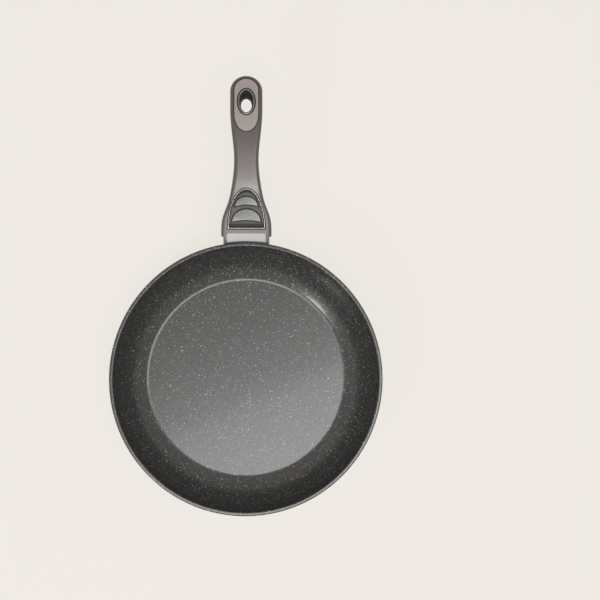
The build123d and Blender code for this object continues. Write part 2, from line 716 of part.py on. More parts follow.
with BuildPart() as fork_screws:
    with BuildSketch(deck(FORK_BOTTOM)):
        with Locations(
            (-FORK_SCREW_OFFSET, FORK_SCREW_STATION), (FORK_SCREW_OFFSET, FORK_SCREW_STATION)
        ):
            Circle(FORK_SCREW_RADIUS)
    extrude(amount=PAD_SEAT - FORK_BOTTOM)
    with BuildSketch(deck(PAD_SEAT - FORK_SCREW_HEAD_HEIGHT)):
        with Locations(
            (-FORK_SCREW_OFFSET, FORK_SCREW_STATION), (FORK_SCREW_OFFSET, FORK_SCREW_STATION)
        ):
            Circle(FORK_SCREW_HEAD_RADIUS)
    extrude(amount=FORK_SCREW_HEAD_HEIGHT)
    with BuildSketch(deck(PAD_SEAT)):
        with Locations(
            (-FORK_SCREW_OFFSET, FORK_SCREW_STATION), (FORK_SCREW_OFFSET, FORK_SCREW_STATION)
        ):
            RegularPolygon(FORK_SCREW_DRIVE, 6)
    extrude(amount=-FORK_SCREW_DRIVE, mode=Mode.SUBTRACT)

with BuildPart() as return_spring:
    coil_start = across(SPRING_FRONT + SPRING_WIRE / 2 + SEAT_GAP, SPRING_HEIGHT)
    coil_length = SPRING_LENGTH - SPRING_WIRE - 2 * SEAT_GAP
    with BuildLine() as coil:
        Helix(
            coil_length / SPRING_TURNS,
            coil_length,
            SPRING_RADIUS - SPRING_WIRE / 2,
            center=coil_start.origin,
            direction=OUTWARDS,
        )
    with BuildSketch(Plane(origin=coil.line @ 0, z_dir=coil.line % 0)):
        Circle(SPRING_WIRE / 2)
    sweep(path=coil.line, is_frenet=True)

with BuildPart() as window_bezel:
    with BuildSketch(deck(LEDGE_TOP + SEAT_GAP)):
        add(
            arch(
                WINDOW_BASE - BEZEL_WIDTH,
                WINDOW_HALF_WIDTH + BEZEL_WIDTH,
                WINDOW_HEIGHT + 2 * BEZEL_WIDTH,
            )
        )
        add(arch(WINDOW_BASE, WINDOW_HALF_WIDTH, WINDOW_HEIGHT), mode=Mode.SUBTRACT)
    extrude(amount=DECK_HEIGHT + BEZEL_PROUD - LEDGE_TOP - SEAT_GAP)


def column(shape: Sketch) -> Part:
    """A column with a plan outline, tall enough to pass through the grip."""
    with BuildPart() as solid:
        with BuildSketch(Plane.XY):
            add(shape)
        extrude(amount=TALL)
    return solid.part


eyelet_outline = ellipse_at_hole(EYELET_HALF_WIDTH, EYELET_HALF_LENGTH)
eyelet_seat = ellipse_at_hole(EYELET_HALF_WIDTH + INLAY_GAP, EYELET_HALF_LENGTH + INLAY_GAP)

hole_mouth = Plane(
    origin=(0, SEAT_Y + HOLE_STATION, SEAT_Z + HOLE_RISE),
    x_dir=(1, 0, 0),
    z_dir=(0, sin(radians(HOLE_LEAN)), cos(radians(HOLE_LEAN))),
)

with BuildPart() as hanging_hole:
    with BuildSketch(hole_mouth):
        Ellipse(HOLE_HALF_WIDTH, HOLE_HALF_LENGTH)
    extrude(amount=HOLE_RISE, both=True)

with BuildPart() as tip_plate:
    add(column(plate_outline(0)))
    add(grip_profile(PLATE_PROUD), mode=Mode.INTERSECT)
    add(grip_profile(-PLATE_DEPTH), mode=Mode.SUBTRACT)
    add(column(eyelet_seat), mode=Mode.SUBTRACT)

with BuildPart() as hang_eyelet:
    add(column(eyelet_outline))
    add(grip_profile(EYELET_PROUD), mode=Mode.INTERSECT)
    add(grip_profile(-EYELET_DEPTH), mode=Mode.SUBTRACT)
    add(hanging_hole.part, mode=Mode.SUBTRACT)

with BuildPart() as plate_recess:
    add(column(plate_outline(PLATE_GROOVE)))
    add(grip_profile(-PLATE_DEPTH - SEAT_GAP), mode=Mode.SUBTRACT)

with BuildPart() as eyelet_recess:
    add(column(eyelet_seat))
    add(grip_profile(-EYELET_DEPTH - SEAT_GAP), mode=Mode.SUBTRACT)

MOUTH_LEAN = MOUTH_BOTTOM - MOUTH_TOP
MOUTH_DROP = DECK_HEIGHT + BELLY_DEPTH


def mouth_cut(setback: float, half_width: float) -> Part:
    """All that stands on the pan's side of the slanted mouth, moved outwards by a setback."""
    low = (MOUTH_BOTTOM + MOUTH_LEAN + setback, -BELLY_DEPTH - MOUTH_DROP)
    high = (MOUTH_TOP - MOUTH_LEAN + setback, DECK_HEIGHT + MOUTH_DROP)
    with BuildPart() as cut:
        with BuildSketch(side()):
            with BuildLine():
                Polyline(low, high, (-TALL, high[1]), (-TALL, low[1]), low)
            make_face()
        extrude(amount=half_width, both=True)
    return cut.part


def long_edges(solid: Part, top: bool) -> ShapeList:
    """The edges that run along the grip between its sides and its top, or its bottom."""
    chosen = ShapeList()
    for edge in solid.edges():
        offset = edge @ 0.5 - SEAT
        heading = edge % 0.5
        u = offset.dot(OUTWARDS)
        past_deck = max(0, u - DECK_END) / (TOP_END[0] - DECK_END)
        middle = (DECK_HEIGHT - BELLY_DEPTH) / 2 * (1 - past_deck)
        middle += (TOP_END[1] + BOTTOM_END[1]) / 2 * past_deck
        runs_along = abs(heading.Z) < 0.9 and abs(heading.X) < 0.99 and u > 0
        if runs_along and (offset.dot(UPWARDS) > middle) == top:
            chosen.append(edge)
    return chosen


CAVITY_HALF_WIDTH = WING_HALF_WIDTH + SLIDING_GAP
CAVITY_START = FLANGE_END + PRESS_GAP
CAVITY_END = WING_END + SLIDING_GAP
FORK_SLOT_START = FORK_START - SLIDING_GAP
FORK_SLOT_END = FORK_BRIDGE_END + FORK_SLOPE + SLIDE_TRAVEL

with BuildPart() as handle_grip:
    add(column(grip_outline()))
    add(grip_profile(), mode=Mode.INTERSECT)
    fillet(long_edges(handle_grip.part, True), TOP_ROUND)
    fillet(long_edges(handle_grip.part, False), BOTTOM_ROUND)
    add(mouth_cut(0, 2 * MOUTH_HALF_WIDTH), mode=Mode.SUBTRACT)
    add(mouth_cut(MOUTH_NOTCH, MOUTH_NOTCH_WIDTH / 2), mode=Mode.SUBTRACT)

    # Bevelled lip under the mouth
    with BuildSketch(side()):
        with BuildLine():
            Polyline(
                (MOUTH_BOTTOM + MOUTH_NOTCH + LIP_FACET, -BELLY_DEPTH),
                (MOUTH_TOP, -BELLY_DEPTH + LIP_RISE * (1 + MOUTH_DROP / LIP_FACET / 2)),
                (MOUTH_TOP, -2 * BELLY_DEPTH),
                (MOUTH_BOTTOM + MOUTH_NOTCH + LIP_FACET, -BELLY_DEPTH),
            )
        make_face()
    extrude(amount=2 * MOUTH_HALF_WIDTH, both=True, mode=Mode.SUBTRACT)

    # Room for the sleeve, the receiver and its flange
    with BuildSketch(across(0, TONGUE_CENTRE)):
        RectangleRounded(
            SLEEVE_WIDTH + 2 * SLIDING_GAP, SLEEVE_HEIGHT + 2 * SLIDING_GAP, SLEEVE_CORNER
        )
    extrude(amount=SLEEVE_END + CAVITY_END_GAP, mode=Mode.SUBTRACT)
    with BuildSketch(across(SLEEVE_END, (FLANGE_TOP + FLANGE_BOTTOM) / 2)):
        RectangleRounded(
            2 * (FLANGE_HALF_WIDTH + PRESS_GAP),
            FLANGE_TOP - FLANGE_BOTTOM + 2 * PRESS_GAP,
            SLEEVE_CORNER / 2,
        )
    extrude(amount=CAVITY_START - SLEEVE_END, mode=Mode.SUBTRACT)
    with BuildSketch(across(SLEEVE_END, TONGUE_CENTRE)):
        Rectangle(RECEIVER_WIDTH + 2 * PRESS_GAP, RECEIVER_HEIGHT + 2 * PRESS_GAP)
    extrude(amount=RECEIVER_END + PRESS_GAP - SLEEVE_END, mode=Mode.SUBTRACT)

    # Room for the catch, the fork's slot and the spring's trough
    with BuildSketch(deck(RECEIVER_TOP)):
        with Locations((0, (CAVITY_START + CAVITY_END) / 2)):
            Rectangle(2 * CAVITY_HALF_WIDTH, CAVITY_END - CAVITY_START)
    extrude(amount=CAVITY_TOP - RECEIVER_TOP, mode=Mode.SUBTRACT)
    with BuildSketch(deck(RECEIVER_TOP)):
        with Locations((0, (FORK_SLOT_START + FORK_SLOT_END) / 2)):
            Rectangle(2 * (FORK_HALF_WIDTH + SLIDING_GAP), FORK_SLOT_END - FORK_SLOT_START)
        with Locations((0, (SPRING_FRONT + POST_START) / 2)):
            Rectangle(2 * (SPRING_RADIUS + SLIDE_GAP), SPRING_LENGTH)
    extrude(amount=FLOOR_TOP - RECEIVER_TOP, mode=Mode.SUBTRACT)

    # Stepped pocket of the release slide and its bezel
    with BuildSketch(deck(FLOOR_TOP)):
        add(
            arch(
                WINDOW_BASE - POCKET_SIDE,
                WINDOW_HALF_WIDTH + POCKET_SIDE,
                WINDOW_HEIGHT + 2 * POCKET_SIDE,
            )
        )
    extrude(amount=DECK_HEIGHT, mode=Mode.SUBTRACT)
    with BuildSketch(deck(LEDGE_TOP)):
        add(
            arch(
                WINDOW_BASE - BEZEL_WIDTH - BEZEL_FIT,
                WINDOW_HALF_WIDTH + BEZEL_WIDTH + BEZEL_FIT,
                WINDOW_HEIGHT + 2 * (BEZEL_WIDTH + BEZEL_FIT),
            )
        )
    extrude(amount=DECK_HEIGHT, mode=Mode.SUBTRACT)

    # Post and peg that the return spring bears on
    with BuildSketch(deck(FLOOR_TOP)):
        with Locations((0, POST_START + POST_LENGTH / 2)):
            Rectangle(2 * POST_HALF_WIDTH, POST_LENGTH)
    extrude(amount=POST_TOP - FLOOR_TOP)
    with BuildSketch(across(POST_START, SPRING_HEIGHT)):
        Circle(PEG_RADIUS)
    extrude(amount=-PEG_LENGTH)

    # Screw scoop in the underside, with the screw's hole in its deep end
    with BuildSketch(across(SCOOP_START, -BELLY_DEPTH)) as deep_end:
        Ellipse(SCOOP_HALF_WIDTH, SCOOP_DEPTH)
    with BuildSketch(across(SCOOP_START + SCOOP_LENGTH, -BELLY_DEPTH)) as shallow_end:
        Ellipse(SCOOP_LIP_HALF_WIDTH, SCOOP_LIP_DEPTH)
    loft(mode=Mode.SUBTRACT)
    with BuildSketch(screw_seat):
        Circle(SCREW_RADIUS + SLIDING_GAP)
    extrude(amount=SCREW_LENGTH, mode=Mode.SUBTRACT)
    with BuildSketch(screw_seat.offset(SCREW_LENGTH - SEAT_GAP)):
        Circle(SCREW_HEAD_RADIUS + SLIDING_GAP)
    extrude(amount=2 * SCREW_HEAD_HEIGHT, mode=Mode.SUBTRACT)

    # Seats of the tip plate and the eyelet, and the hanging hole
    add(plate_recess.part, mode=Mode.SUBTRACT)
    add(eyelet_recess.part, mode=Mode.SUBTRACT)
    add(hanging_hole.part, mode=Mode.SUBTRACT)

PIECES = {
    "pan_body": pan_body,
    "induction_disc": induction_disc,
    "bracket_sleeve": bracket_sleeve,
    "tongue_bracket": tongue_bracket,
    "wall_studs": wall_studs,
    "lock_washers": lock_washers,
    "stud_nuts": stud_nuts,
    "handle_grip": handle_grip,
    "tip_plate": tip_plate,
    "hang_eyelet": hang_eyelet,
    "window_bezel": window_bezel,
    "receiver_channel": receiver_channel,
    "receiver_screw": receiver_screw,
    "catch_leaf": catch_leaf,
    "catch_rivets": catch_rivets,
    "return_spring": return_spring,
    "slide_button": slide_button,
    "upper_pad": upper_pad,
    "lower_pad": lower_pad,
    "release_fork": release_fork,
    "fork_screws": fork_screws,
}

os.makedirs("parts", exist_ok=True)
for label, piece in PIECES.items():
    piece.part.label = label
    export_step(piece.part, f"parts/{label}.step")
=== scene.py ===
"""A frying pan whose handle pulls off: the looks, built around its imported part.

Lengths are in millimetres until they reach Blender, which works in metres. The pan stands on its
base's centre, +Z is up and the handle points along +Y. The bracket, the lower half of the handle
and all that is inside it share a tilted frame: u runs outwards along the bracket, w is square to it
and upwards, and x is the part's X.
"""

import logging
import math
from collections.abc import Callable, Iterator, Sequence
from contextlib import contextmanager
from dataclasses import dataclass
from enum import Enum

import bmesh
import bpy
import numpy as np
from mathutils import Matrix, Vector

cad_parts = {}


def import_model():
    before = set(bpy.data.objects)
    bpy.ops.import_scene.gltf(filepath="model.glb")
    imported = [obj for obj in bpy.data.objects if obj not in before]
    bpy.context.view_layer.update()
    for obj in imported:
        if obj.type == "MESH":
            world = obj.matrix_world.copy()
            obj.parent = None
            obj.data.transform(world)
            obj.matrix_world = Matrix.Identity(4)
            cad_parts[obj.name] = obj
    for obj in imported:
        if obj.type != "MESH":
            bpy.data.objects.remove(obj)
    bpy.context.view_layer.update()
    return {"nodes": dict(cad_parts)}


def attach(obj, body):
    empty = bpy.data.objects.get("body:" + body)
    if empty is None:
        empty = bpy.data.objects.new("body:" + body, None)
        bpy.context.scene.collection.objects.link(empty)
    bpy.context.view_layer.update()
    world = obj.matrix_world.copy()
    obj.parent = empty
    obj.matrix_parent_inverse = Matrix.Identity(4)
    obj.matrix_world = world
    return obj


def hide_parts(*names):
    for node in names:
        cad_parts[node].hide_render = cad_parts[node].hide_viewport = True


MM = 0.001
MOST_OF_NOISE = (0.3, 0.7)
GRAIN_AND_SMUDGE = (0.7, 1.3)
FLATNESS = 60
ARCH_SIDE_EDGES = 12
log = logging.getLogger("frying_pan")

Flat = tuple[float, float]
Triple = tuple[float, float, float]
Colour = Triple
Piece = bpy.types.Object
Socket = bpy.types.NodeSocket


class Body(Enum):
    """The bodies that pieces ride on."""

    PAN = "pan"
    HANDLE = "handle"
    SLIDE = "thumb_slide"


class BaseFinish(Enum):
    """The pan body's materials, by their slot on the mesh."""

    COATING = 0
    RING = 1
    BEVEL = 2


class Carve(Enum):
    """How one solid shapes another."""

    AWAY = "DIFFERENCE"
    WITHIN = "INTERSECT"
    TOGETHER = "UNION"


# The workbench: what each piece is modelled with


def at(x: float, y: float, z: float) -> Vector:
    """A point given in millimetres, as a vector in metres."""
    return Vector((x, y, z)) * MM


def hold(piece: Piece) -> None:
    """Makes a piece the only one that is selected and active."""
    bpy.ops.object.select_all(action="DESELECT")
    piece.select_set(True)
    bpy.context.view_layer.objects.active = piece


@contextmanager
def editing(piece: Piece, everything: bool = True) -> Iterator[None]:
    """Opens a piece in edit mode.

    Args:
        piece: The mesh to edit.
        everything: Whether all of it starts selected, or nothing.

    Yields:
        Nothing: the piece is in edit mode for as long as the block runs.
    """
    hold(piece)
    bpy.ops.object.mode_set(mode="EDIT")
    bpy.ops.mesh.select_mode(type="VERT")
    bpy.ops.mesh.select_all(action="SELECT" if everything else "DESELECT")
    try:
        yield
    finally:
        bpy.ops.object.mode_set(mode="OBJECT")


def edge_run(name: str, points: Sequence[Vector]) -> Piece:
    """Draws a run of edges by extruding one vertex from point to point.

    Args:
        name: The new mesh's name.
        points: Where the run goes, in metres.

    Returns:
        The run, as a mesh with no faces.
    """
    bpy.ops.object.select_all(action="DESELECT")
    bpy.ops.mesh.primitive_plane_add(size=MM, location=(0, 0, 0))
    run = bpy.context.active_object
    run.name = run.data.name = name
    with editing(run):
        bpy.ops.mesh.merge(type="CENTER")
        bpy.ops.transform.translate(value=points[0])
        for here, there in zip(points, points[1:]):
            bpy.ops.mesh.extrude_vertices_move(TRANSFORM_OT_translate={"value": there - here})
    return run


def face_outwards() -> None:
    """Turns all the normals of the mesh in edit mode outwards."""
    bpy.ops.mesh.select_all(action="SELECT")
    bpy.ops.mesh.normals_make_consistent(inside=False)


def joined(name: str, parts: Sequence[Piece]) -> Piece:
    """Joins meshes into the first of them, in their order.

    Args:
        name: The joined mesh's name.
        parts: The meshes.

    Returns:
        The joined mesh.
    """
    bpy.ops.object.select_all(action="DESELECT")
    for part in parts:
        part.select_set(True)
    bpy.context.view_layer.objects.active = parts[0]
    if len(parts) > 1:
        bpy.ops.object.join()
    parts[0].name = parts[0].data.name = name
    return parts[0]


def prism(name: str, outline: Sequence[Vector], along: Vector) -> Piece:
    """Fills a closed outline and extrudes it into a solid.

    Args:
        name: The solid's name.
        outline: The outline's points in metres, without the first one again.
        along: How far and which way it is extruded.

    Returns:
        The solid.
    """
    solid = edge_run(name, [*outline, outline[0]])
    with editing(solid):
        bpy.ops.mesh.remove_doubles(threshold=1e-6)
        bpy.ops.mesh.select_all(action="SELECT")
        bpy.ops.mesh.edge_face_add()
        bpy.ops.mesh.extrude_region_move(TRANSFORM_OT_translate={"value": along})
        face_outwards()
    return solid


def loft(name: str, rails: Sequence[Sequence[Vector]], ring: bool, wrap: bool) -> Piece:
    """Bridges rails that have the same number of points into a skin.

    Args:
        name: The skin's name.
        rails: The rails in order, each a list of points in metres.
        ring: Whether each rail closes on itself.
        wrap: Whether the last rail is bridged to the first.

    Returns:
        The skin, with its normals outwards.
    """
    count = len(rails[0])
    runs = []
    for rail in rails:
        run = edge_run(name, rail)
        if ring:
            with editing(run, everything=False):
                mesh = bmesh.from_edit_mesh(run.data)
                mesh.verts.ensure_lookup_table()
                mesh.verts[0].select = mesh.verts[-1].select = True
                bpy.ops.mesh.edge_face_add()
        runs.append(run)
    skin = joined(name, runs)
    pairs = list(zip(range(len(rails)), range(1, len(rails))))
    if wrap:
        pairs.append((len(rails) - 1, 0))
    with editing(skin, everything=False):
        bpy.ops.mesh.select_mode(type="EDGE")
        for first, second in pairs:
            mesh = bmesh.from_edit_mesh(skin.data)
            bpy.ops.mesh.select_all(action="DESELECT")
            for edge in mesh.edges:
                ends = {vertex.index // count for vertex in edge.verts}
                edge.select_set(len(ends) == 1 and ends <= {first, second})
            bmesh.update_edit_mesh(skin.data)
            bpy.ops.mesh.bridge_edge_loops()
        face_outwards()
    return skin


def apply(piece: Piece, modifier: bpy.types.Modifier) -> None:
    """Applies a modifier to its piece."""
    hold(piece)
    bpy.ops.object.modifier_apply(modifier=modifier.name)


def carve(piece: Piece, tool: Piece, how: Carve = Carve.AWAY) -> None:
    """Shapes a solid with another one, which is used up and leaves its material on the cut.

    Args:
        piece: The solid that is kept.
        tool: The solid that shapes it.
        how: What the tool does to it.
    """
    modifier = piece.modifiers.new("carve", "BOOLEAN")
    modifier.object = tool
    modifier.operation = how.value
    modifier.solver = "EXACT"
    modifier.material_mode = "TRANSFER"
    apply(piece, modifier)
    bpy.data.objects.remove(tool)


def soften(piece: Piece, width: float, angle: float = 35, segments: int = 3) -> None:
    """Rounds a solid's sharp edges.

    Args:
        piece: The solid.
        width: How far the rounding reaches from an edge, in millimetres.
        angle: Edges that turn more than this many degrees are rounded.
        segments: How many faces the rounding has across it.
    """
    modifier = piece.modifiers.new("soften", "BEVEL")
    modifier.width = width * MM
    modifier.limit_method = "ANGLE"
    modifier.angle_limit = math.radians(angle)
    modifier.segments = segments
    modifier.miter_outer = "MITER_ARC"
    apply(piece, modifier)


def shade(piece: Piece, angle: float = 32) -> None:
    """Shades a piece smooth, but for edges that turn more than an angle in degrees."""
    hold(piece)
    bpy.ops.object.shade_smooth_by_angle(angle=math.radians(angle))


def level(piece: Piece) -> None:
    """Lets large flat faces set the shading at their corners, so that they look flat."""
    modifier = piece.modifiers.new("level", "WEIGHTED_NORMAL")
    modifier.keep_sharp = True
    modifier.weight = FLATNESS
    apply(piece, modifier)


def closed(piece: Piece) -> Piece:
    """Fills a skin's open ends, which makes it a solid.

    Args:
        piece: The skin.

    Returns:
        The same piece, now a solid.
    """
    with editing(piece, everything=False):
        bpy.ops.mesh.select_non_manifold()
        bpy.ops.mesh.fill_holes(sides=0)
        face_outwards()
    return piece


def smooth_run(points: Sequence[Flat], start: Flat, end: Flat, pitch: float) -> list[Flat]:
    """A smooth curve through points, with a heading at each end.

    Args:
        points: The points that it passes through.
        start: Its heading at the first point, one unit long.
        end: Its heading at the last point, one unit long.
        pitch: The distance between the points that are returned, at most.

    Returns:
        Points of the curve, with both ends.
    """
    knots = np.array(points, float)
    span = np.linalg.norm(np.diff(knots, axis=0), axis=1)
    count = len(knots)
    system = np.eye(count)
    wanted = np.zeros((count, 2))
    wanted[0], wanted[-1] = start, end
    for k in range(1, count - 1):
        before, after = 1 / span[k - 1], 1 / span[k]
        system[k, k - 1 : k + 2] = before, 2 * (before + after), after
        wanted[k] = 3 * (
            (knots[k] - knots[k - 1]) * before**2 + (knots[k + 1] - knots[k]) * after**2
        )
    heading = np.linalg.solve(system, wanted)
    curve = [tuple(knots[0])]
    for k in range(count - 1):
        steps = max(2, math.ceil(span[k] / pitch))
        for t in np.linspace(0, 1, steps + 1)[1:]:
            near = (1 + 2 * t) * (1 - t) ** 2 * knots[k] + t**2 * (3 - 2 * t) * knots[k + 1]
            lean = t * (1 - t) * ((1 - t) * heading[k] - t * heading[k + 1]) * span[k]
            curve.append(tuple(near + lean))
    return curve


def rounded_box(width: float, height: float, corner: float, middle: float) -> list[Flat]:
    """Outline of a rectangle with rounded corners, about x = 0.

    Args:
        width: The rectangle's width.
        height: Its height.
        corner: The radius of its corners.
        middle: The height of its middle.

    Returns:
        The outline's points.
    """
    outline = []
    for turn, (side, up) in enumerate(((1, 1), (-1, 1), (-1, -1), (1, -1))):
        centre = (side * (width / 2 - corner), middle + up * (height / 2 - corner))
        outline += arc(centre, corner, 90 * turn, 90 * turn + 90, 5)
    return outline


def arc(centre: Flat, radius: float, start: float, end: float, steps: int) -> list[Flat]:
    """Points of a circular arc.

    Args:
        centre: The arc's centre.
        radius: Its radius.
        start: Its first angle, in degrees.
        end: Its last angle, in degrees.
        steps: How many edges it has.

    Returns:
        The points, with both ends.
    """
    return oval(centre, (radius, radius), start, end, steps)


def oval(centre: Flat, radii: Flat, start: float, end: float, steps: int) -> list[Flat]:
    """Points of an elliptical arc.

    Args:
        centre: The ellipse's centre.
        radii: Its radius along each axis.
        start: The arc's first angle, in degrees.
        end: Its last angle, in degrees.
        steps: How many edges it has.

    Returns:
        The points, with both ends.
    """
    turns = [math.radians(start + (end - start) * k / steps) for k in range(steps + 1)]
    return [
        (centre[0] + radii[0] * math.cos(t), centre[1] + radii[1] * math.sin(t)) for t in turns
    ]


@dataclass(frozen=True)
class BracketFrame:
    """The tilted frame that hangs on the pan's rim."""

    seat_y: float = 137.0
    seat_z: float = 36.0
    tilt: float = math.radians(18.0)

    def point(self, x: float, u: float, w: float) -> Vector:
        """A point of the tilted frame in millimetres, as a vector in metres."""
        y, z = self.upright(u, w)
        return at(x, y, z)

    def upright(self, u: float, w: float) -> Flat:
        """Places a point of the mid plane.

        Args:
            u: How far out it lies along the bracket.
            w: How far it lies above the bracket's axis.

        Returns:
            Its Y and Z, in millimetres.
        """
        return (
            self.seat_y + u * math.cos(self.tilt) - w * math.sin(self.tilt),
            self.seat_z + u * math.sin(self.tilt) + w * math.cos(self.tilt),
        )

    def lift(self, height: float) -> Vector:
        """A vector square to the bracket and upwards, from millimetres."""
        return self.point(0, 0, height) - self.point(0, 0, 0)

    def plate(self, name: str, outline: Sequence[Flat], low: float, high: float) -> Piece:
        """A solid whose outline lies along the bracket.

        Args:
            name: The solid's name.
            outline: Its outline in x and u.
            low: The w that it starts at.
            high: The w that it ends at.

        Returns:
            The solid.
        """
        return prism(name, [self.point(x, u, low) for x, u in outline], self.lift(high - low))

    def bar(self, name: str, section: Sequence[Flat], start: float, end: float) -> Piece:
        """A solid that runs outwards along the bracket.

        Args:
            name: The solid's name.
            section: Its section in x and w.
            start: The u that it starts at.
            end: The u that it ends at.

        Returns:
            The solid.
        """
        along = self.point(0, end, 0) - self.point(0, start, 0)
        return prism(name, [self.point(x, start, w) for x, w in section], along)

    def slab(self, name: str, outline: Sequence[Flat], half_width: float) -> Piece:
        """A solid whose outline is the same all across x.

        Args:
            name: The solid's name.
            outline: Its outline in u and w.
            half_width: How far it reaches to each side.

        Returns:
            The solid.
        """
        points = [self.point(-half_width, u, w) for u, w in outline]
        return prism(name, points, at(2 * half_width, 0, 0))


BRACKET = BracketFrame()


# Finishes


def tinted(colour: Colour, share: float) -> Colour:
    """A colour made lighter or darker."""
    return tuple(share * channel for channel in colour)


class Recipe:
    """A material's nodes while they are put together."""

    def __init__(self, name: str) -> None:
        """Starts a material that has only its shader and output."""
        self.material = bpy.data.materials.new(name)
        self.material.use_nodes = True
        self.tree = self.material.node_tree
        self.shader = self.tree.nodes["Principled BSDF"]

    def add(self, kind: str, inputs: dict | None = None, **settings: object) -> bpy.types.Node:
        """Adds a node.

        Args:
            kind: The node's type.
            inputs: Values or sockets for its inputs, by their name or number.
            settings: The node's own settings.

        Returns:
            The node.
        """
        node = self.tree.nodes.new(kind)
        for setting, value in settings.items():
            setattr(node, setting, value)
        for key, value in (inputs or {}).items():
            self.feed(node.inputs[key], value)
        return node

    def feed(self, socket: Socket, value: object) -> None:
        """Links a socket to an input, or sets its value.

        Args:
            socket: The input.
            value: The socket that feeds it, or its value.
        """
        if isinstance(value, bpy.types.NodeSocket):
            self.tree.links.new(value, socket)
        else:
            socket.default_value = value

    def set(self, **values: object) -> None:
        """Sets or links the shader's inputs, whose names have an underscore for a space."""
        for name, value in values.items():
            self.feed(self.shader.inputs[name.replace("_", " ")], value)

    def where(self) -> Socket:
        """The point's place in the object's own frame."""
        return self.add("ShaderNodeTexCoord").outputs["Object"]

    def stretched(self, scale: Triple) -> Socket:
        """The point's place, stretched along each axis."""
        return self.add(
            "ShaderNodeMapping", {"Vector": self.where(), "Scale": scale}
        ).outputs["Vector"]

    def noise(self, grain: float, detail: float = 2.0, place: Socket | None = None) -> Socket:
        """Smooth noise from 0 to 1.

        Args:
            grain: The size of its blotches, in millimetres.
            detail: How many finer layers it has.
            place: Where it is read, the point's own place if none is given.

        Returns:
            Its value.
        """
        inputs = {
            "Vector": place or self.where(),
            "Scale": 1 / (grain * MM),
            "Detail": detail,
            "Roughness": 0.55,
        }
        return self.add("ShaderNodeTexNoise", inputs).outputs["Fac"]

    def sum(self, operation: str, first: object, second: object) -> Socket:
        """One operation on two numbers."""
        return self.add(
            "ShaderNodeMath", {0: first, 1: second}, operation=operation
        ).outputs["Value"]

    def vector(
        self, operation: str, first: object, second: object = None, scale: float | None = None
    ) -> Socket:
        """One operation on vectors.

        Args:
            operation: What is done.
            first: The first vector, or a socket.
            second: The second one, where there are two.
            scale: The number that it is scaled by, where it is.

        Returns:
            The new vector.
        """
        inputs = {0: first, 1: second, "Scale": scale}
        given = {key: value for key, value in inputs.items() if value is not None}
        node = self.add("ShaderNodeVectorMath", given, operation=operation)
        return node.outputs["Vector"]

    def spread(self, value: Socket, old: Flat, new: Flat = (0, 1)) -> Socket:
        """Moves a value from one range into another, and holds it there.

        Args:
            value: The value.
            old: The range that it comes from.
            new: The range that it goes to.

        Returns:
            The new value.
        """
        inputs = {
            "Value": value,
            "From Min": old[0],
            "From Max": old[1],
            "To Min": new[0],
            "To Max": new[1],
        }
        return self.add("ShaderNodeMapRange", inputs).outputs["Result"]

    def blend(self, share: object, first: object, second: object) -> Socket:
        """Mixes two colours.

        Args:
            share: How much of the second one there is, from 0 to 1.
            first: The first colour, or a socket.
            second: The second colour, or a socket.

        Returns:
            The mixed colour.
        """
        inputs = {
            "Factor": share,
            6: (*first, 1) if isinstance(first, tuple) else first,
            7: (*second, 1) if isinstance(second, tuple) else second,
        }
        return self.add("ShaderNodeMix", inputs, data_type="RGBA").outputs[2]

    def relief(self, height: Socket, depth: float, strength: float = 1.0) -> None:
        """Bends the shader's normal by a height map.

        Args:
            height: The map, from 0 to 1.
            depth: The height that 1 stands for, in millimetres.
            strength: How much of it is used.
        """
        inputs = {"Height": height, "Distance": depth * MM, "Strength": strength}
        self.set(Normal=self.add("ShaderNodeBump", inputs).outputs["Normal"])


@dataclass(frozen=True)
class Flecks:
    """One layer of scattered flecks with ragged edges.

    Attributes:
        cell: The distance between places that may hold a fleck, in millimetres.
        share: How many of them do.
        size: Where a fleck's edge begins and ends, as shares of a cell.
        turn: How far the pattern is turned, so that no two layers line up.
    """

    cell: float
    share: float
    size: Flat
    turn: float
    fade: float = 0.02
    faintest: float = 0.15
    ragged: Flat = (0.45, 0.45)
    wander: Flat = (5.0, 2.6)

    def mask(self, recipe: Recipe) -> Socket:
        """Adds the layer to a recipe.

        Args:
            recipe: The material in hand.

        Returns:
            The layer's mask, up to 1 on a fleck.
        """
        turn = (self.turn, 0.7 * self.turn, 1.3 * self.turn)
        turned = recipe.add(
            "ShaderNodeMapping", {"Vector": recipe.where(), "Rotation": turn}
        ).outputs["Vector"]
        spot_place = turned
        for grain, reach in (self.ragged, self.wander):
            wobble = recipe.add(
                "ShaderNodeTexNoise",
                {"Vector": turned, "Scale": 1 / (grain * self.cell * MM), "Detail": 1.0},
            ).outputs["Color"]
            shift = recipe.vector("SCALE", wobble, scale=reach * self.cell * MM)
            spot_place = recipe.vector("ADD", spot_place, shift)
        cells = recipe.add(
            "ShaderNodeTexVoronoi", {"Vector": spot_place, "Scale": 1 / (self.cell * MM)}
        )
        chance = recipe.add("ShaderNodeSeparateColor", {"Color": cells.outputs["Color"]})
        edge = (self.share - self.fade, self.share)
        chosen = recipe.spread(chance.outputs["Red"], edge, (1, 0))
        strength = recipe.spread(chance.outputs["Green"], (0.1, 1), (self.faintest, 1))
        spot = recipe.spread(cells.outputs["Distance"], self.size, (1, 0))
        return recipe.sum("MULTIPLY", recipe.sum("MULTIPLY", spot, chosen), strength)


